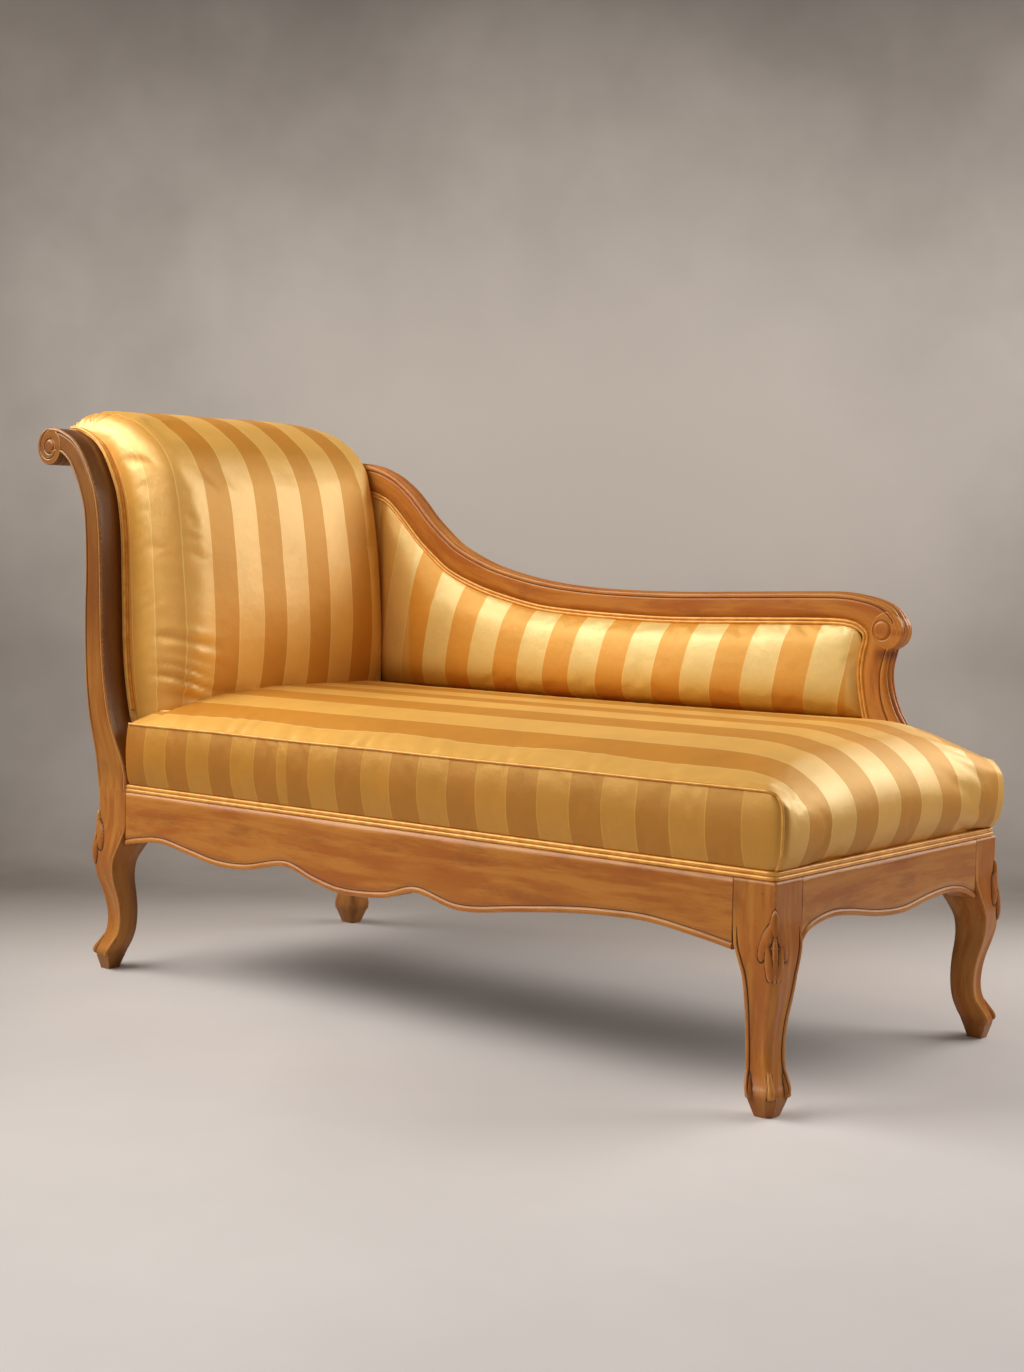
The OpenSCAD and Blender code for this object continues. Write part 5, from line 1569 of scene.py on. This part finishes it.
def sweep_cords(name, paths, radius, nodes):
    """One mesh of round cords along the given lines of points, in place of the given nodes."""
    edges = []
    start = 0
    for path in paths:
        edges += [(start + i, start + i + 1) for i in range(len(path) - 1)]
        start += len(path)
    mesh = bpy.data.meshes.new(name)
    mesh.from_pydata(np.vstack(paths).tolist(), edges, [])
    obj = add_object(name, mesh)
    modifier = obj.modifiers.new("cords", "NODES")
    modifier.node_group = cord_tree
    for key, value in zip(cord_inputs, (radius, cord_sides, welt_satin)):
        modifier[key] = value
    graph = bpy.context.evaluated_depsgraph_get()
    made = bpy.data.meshes.new_from_object(obj.evaluated_get(graph))
    obj.modifiers.clear()
    obj.data = made
    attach(obj, "root")
    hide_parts(*nodes)


print("cord tree", len(cord_tree.nodes), "nodes")

# %% Welts and piping
welt_r = welt_w / 4
welt_step = 0.006
piping_step = 0.004
rail_r = 0.0038
rail_corner = 0.006


def seam_line(line, off, y):
    """An even line beside a seam, at depth y."""
    return at_depth(even_rows(beside(line, off), welt_step), y)


head_seam = smooth_rows(np.vstack([stile_front[0] * 0.65 + stile_front[1] * 0.35,
                                   stile_front[1:]]), 6)
for label, sy in both_sides:
    pair = [seam_line(head_seam, off, sy * (in_y - inset))
            for off, inset in ((welt_r * 1.15, welt_r), (welt_r, 3 * welt_r))]
    sweep_cords(f"head_welt_{label}_cords", pair, welt_r, [f"head_welt_{label}"])

side_seam = np.vstack([crest_under[int(2.3 * row_steps):], stump_rows[1:, 2:]])
side_seam = side_seam[side_seam[:, 1] > rail_h + seat_wall + 0.7 * seat_crown]
pair = [seam_line(side_seam, off, side_face_y - welt_r) for off in (welt_r, 3 * welt_r)]
sweep_cords("side_welt_cords", pair, welt_r, ["side_welt"])


def rail_path(out, z):
    """Round the foot of the seat, from the head block to the back of the foot end."""
    y, x = half_w - welt_t + out, foot_x - welt_t + out
    turn = np.linspace(0, np.pi / 2, 7)
    corner = np.column_stack([x - rail_corner + rail_corner * np.sin(turn),
                              -y + rail_corner - rail_corner * np.cos(turn)])
    flat = even_rows([[head_x + block_l + hair, -y], *corner, *(corner[::-1] * [1, -1]),
                      [side_end_x + 0.02, y]], welt_step)
    return np.column_stack([flat, np.full(len(flat), z)])


pair = [rail_path(0.0035, rail_h + rail_r), rail_path(0.0030, rail_h + 2.9 * rail_r)]
sweep_cords("seat_welt_cords", pair, rail_r, ["seat_welt"])
piping_line = even_rows(pipe_line[1:] + [0, -0.0007, 0.0009], piping_step)
sweep_cords("seat_piping_cord", [piping_line], piping_r * 0.72, ["seat_piping"])
print("welts and piping swept")

# %% [markdown]
# ## What stays as it is
# The inner frame, springs and cloths keep their solids and only take their finishes. The
# backs are flat panels of the same satin.

# %% Finishes of the solids
finishes = {
    plain_wood: ["head_top_rail", "head_lower_rail", "side_lower_rail", "side_uprights",
                 "corner_blocks", "webbing_cleats", "seat_stretcher"],
    jute: ["seat_webbing_cross", "seat_webbing_long", "head_webbing", "side_webbing"],
    burlap: ["seat_burlap", "head_burlap", "side_burlap"],
    curled_hair: ["seat_hair_pad"],
    dust_cloth: ["bottom_cloth"],
    wire_steel: ["seat_springs", "corner_screws"]}


def paint(node, material):
    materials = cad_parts[node].data.materials
    if not materials:
        materials.append(material)
    for i in range(len(materials)):
        materials[i] = material


for material, nodes in finishes.items():
    for node in nodes:
        paint(node, material)
paint("side_outside_back", make_satin("side back satin", axis=0))
paint("head_outside_back", make_satin("head back satin", axis=1))
print("solids finished")

# %% [markdown]
# ## Floor and light
# A pale studio sweep, one big soft lamp high on the open side, and two gentle fills. The
# sweep's wall carries a painted pool of light, and its floor painted shade to the left. The
# sweep is clear from behind, so that the couch also shows in views from its back.

# %% Studio
wall_run = 1.75
sweep_r = 0.5
sweep_reach = 7.0
sweep_half_w = 9.0
floor_gap = 0.002
# Centre of a pool of light painted on the sweep's wall.
glow_at = (-0.65, 1.2, 1.35)
air_colour = (1.0, 0.985, 0.98, 1)
air_strength = 0.24
ahead = np.array([-math.sin(camera_yaw), math.cos(camera_yaw), 0])
right = np.array([math.cos(camera_yaw), math.sin(camera_yaw), 0])


def make_sweep_material():
    material, n, shader = new_material("studio sweep")
    place = n.place()
    cloud = n.noise(place, 1.6, 4.0, 0.6)
    # Painted light and shade: the wall is lighter round glow_at and darker away from it.
    away = n.vector("DISTANCE", n.stretch(place, (0.85, 0.85, 1.35)), glow_at, "Value")
    wall = n.mix(n.ramp(n.line(cloud, 0.7, away), 0.6, 2.6), srgb(190, 182, 174),
                 srgb(86, 78, 72))
    run, aside = [n.vector("DOT_PRODUCT", place, tuple(way), "Value") for way in (ahead, right)]
    floor = n.mix(cloud, srgb(206, 200, 196), srgb(228, 222, 218))
    # Painted shade: the floor darkens towards the left.
    floor = n.mix(n.times(n.ramp(aside, -0.3, -1.3), 0.75), floor, srgb(138, 131, 125))
    n.feed(shader, {"Base Color": n.mix(n.ramp(run, 0.1, 1.1), floor, wall),
                    "Roughness": 0.75})
    from_behind = n.add("NewGeometry").outputs["Backfacing"]
    seen = n.add("MixShader", {0: from_behind, 1: shader.outputs[0],
                               2: n.add("BsdfTransparent").outputs[0]})
    n.add("OutputMaterial", {"Surface": seen.outputs[0]}).is_active_output = True
    return material


def sheet(profile):
    """Points on the sweep's two edges for a profile of (run, height), and their count."""
    return [ahead * run + right * side + [0, 0, z]
            for side in (-sweep_half_w, sweep_half_w) for run, z in profile], len(profile)


def make_studio():
    turn = np.linspace(0, np.pi / 2, 16)
    curve = [wall_run - sweep_r, sweep_r] + sweep_r * unit(turn)[:, ::-1] * [1, -1]
    points, count = sheet([[-sweep_reach, 0.0], *curve, [wall_run, sweep_reach]])
    faces = [[i, i + count, i + 1 + count, i + 1] for i in range(count - 1)]
    strip, _ = sheet([[wall_run - sweep_r, -floor_gap], [sweep_reach, -floor_gap]])
    first = len(points)
    faces.append([first, first + 2, first + 3, first + 1])
    obj = mesh_object("studio_sweep", points + strip, faces)
    obj.data.materials.append(make_sweep_material())


def area_light(name, at, target, size, power, colour):
    data = bpy.data.lights.new(name, "AREA")
    data.shape = "RECTANGLE"
    data.size, data.size_y = size
    data.energy = power
    data.color = colour
    way = Vector(target) - Vector(at)
    add_object(name, data).matrix_world = (
        Matrix.Translation(at) @ way.to_track_quat("-Z", "Y").to_matrix().to_4x4())


def make_world():
    world = bpy.data.worlds.new("studio air")
    world.use_nodes = True
    background = world.node_tree.nodes["Background"]
    background.inputs["Color"].default_value = air_colour
    background.inputs["Strength"].default_value = air_strength
    bpy.context.scene.world = world


make_studio()
make_world()
area_light("key", (-1.7, -1.6, 2.4), (0.0, 0.1, 0.5), (3.0, 1.6), 105, (1.0, 0.97, 0.93))
area_light("back", (1.5, 1.9, 1.9), (-0.3, 0.0, 0.6), (2.4, 1.8), 58, (1.0, 0.97, 0.94))
area_light("front", (0.4, -3.6, 3.0), (0.2, 0.0, 0.5), (2.6, 1.6), 14, (1.0, 0.97, 0.94))
print("studio lit")
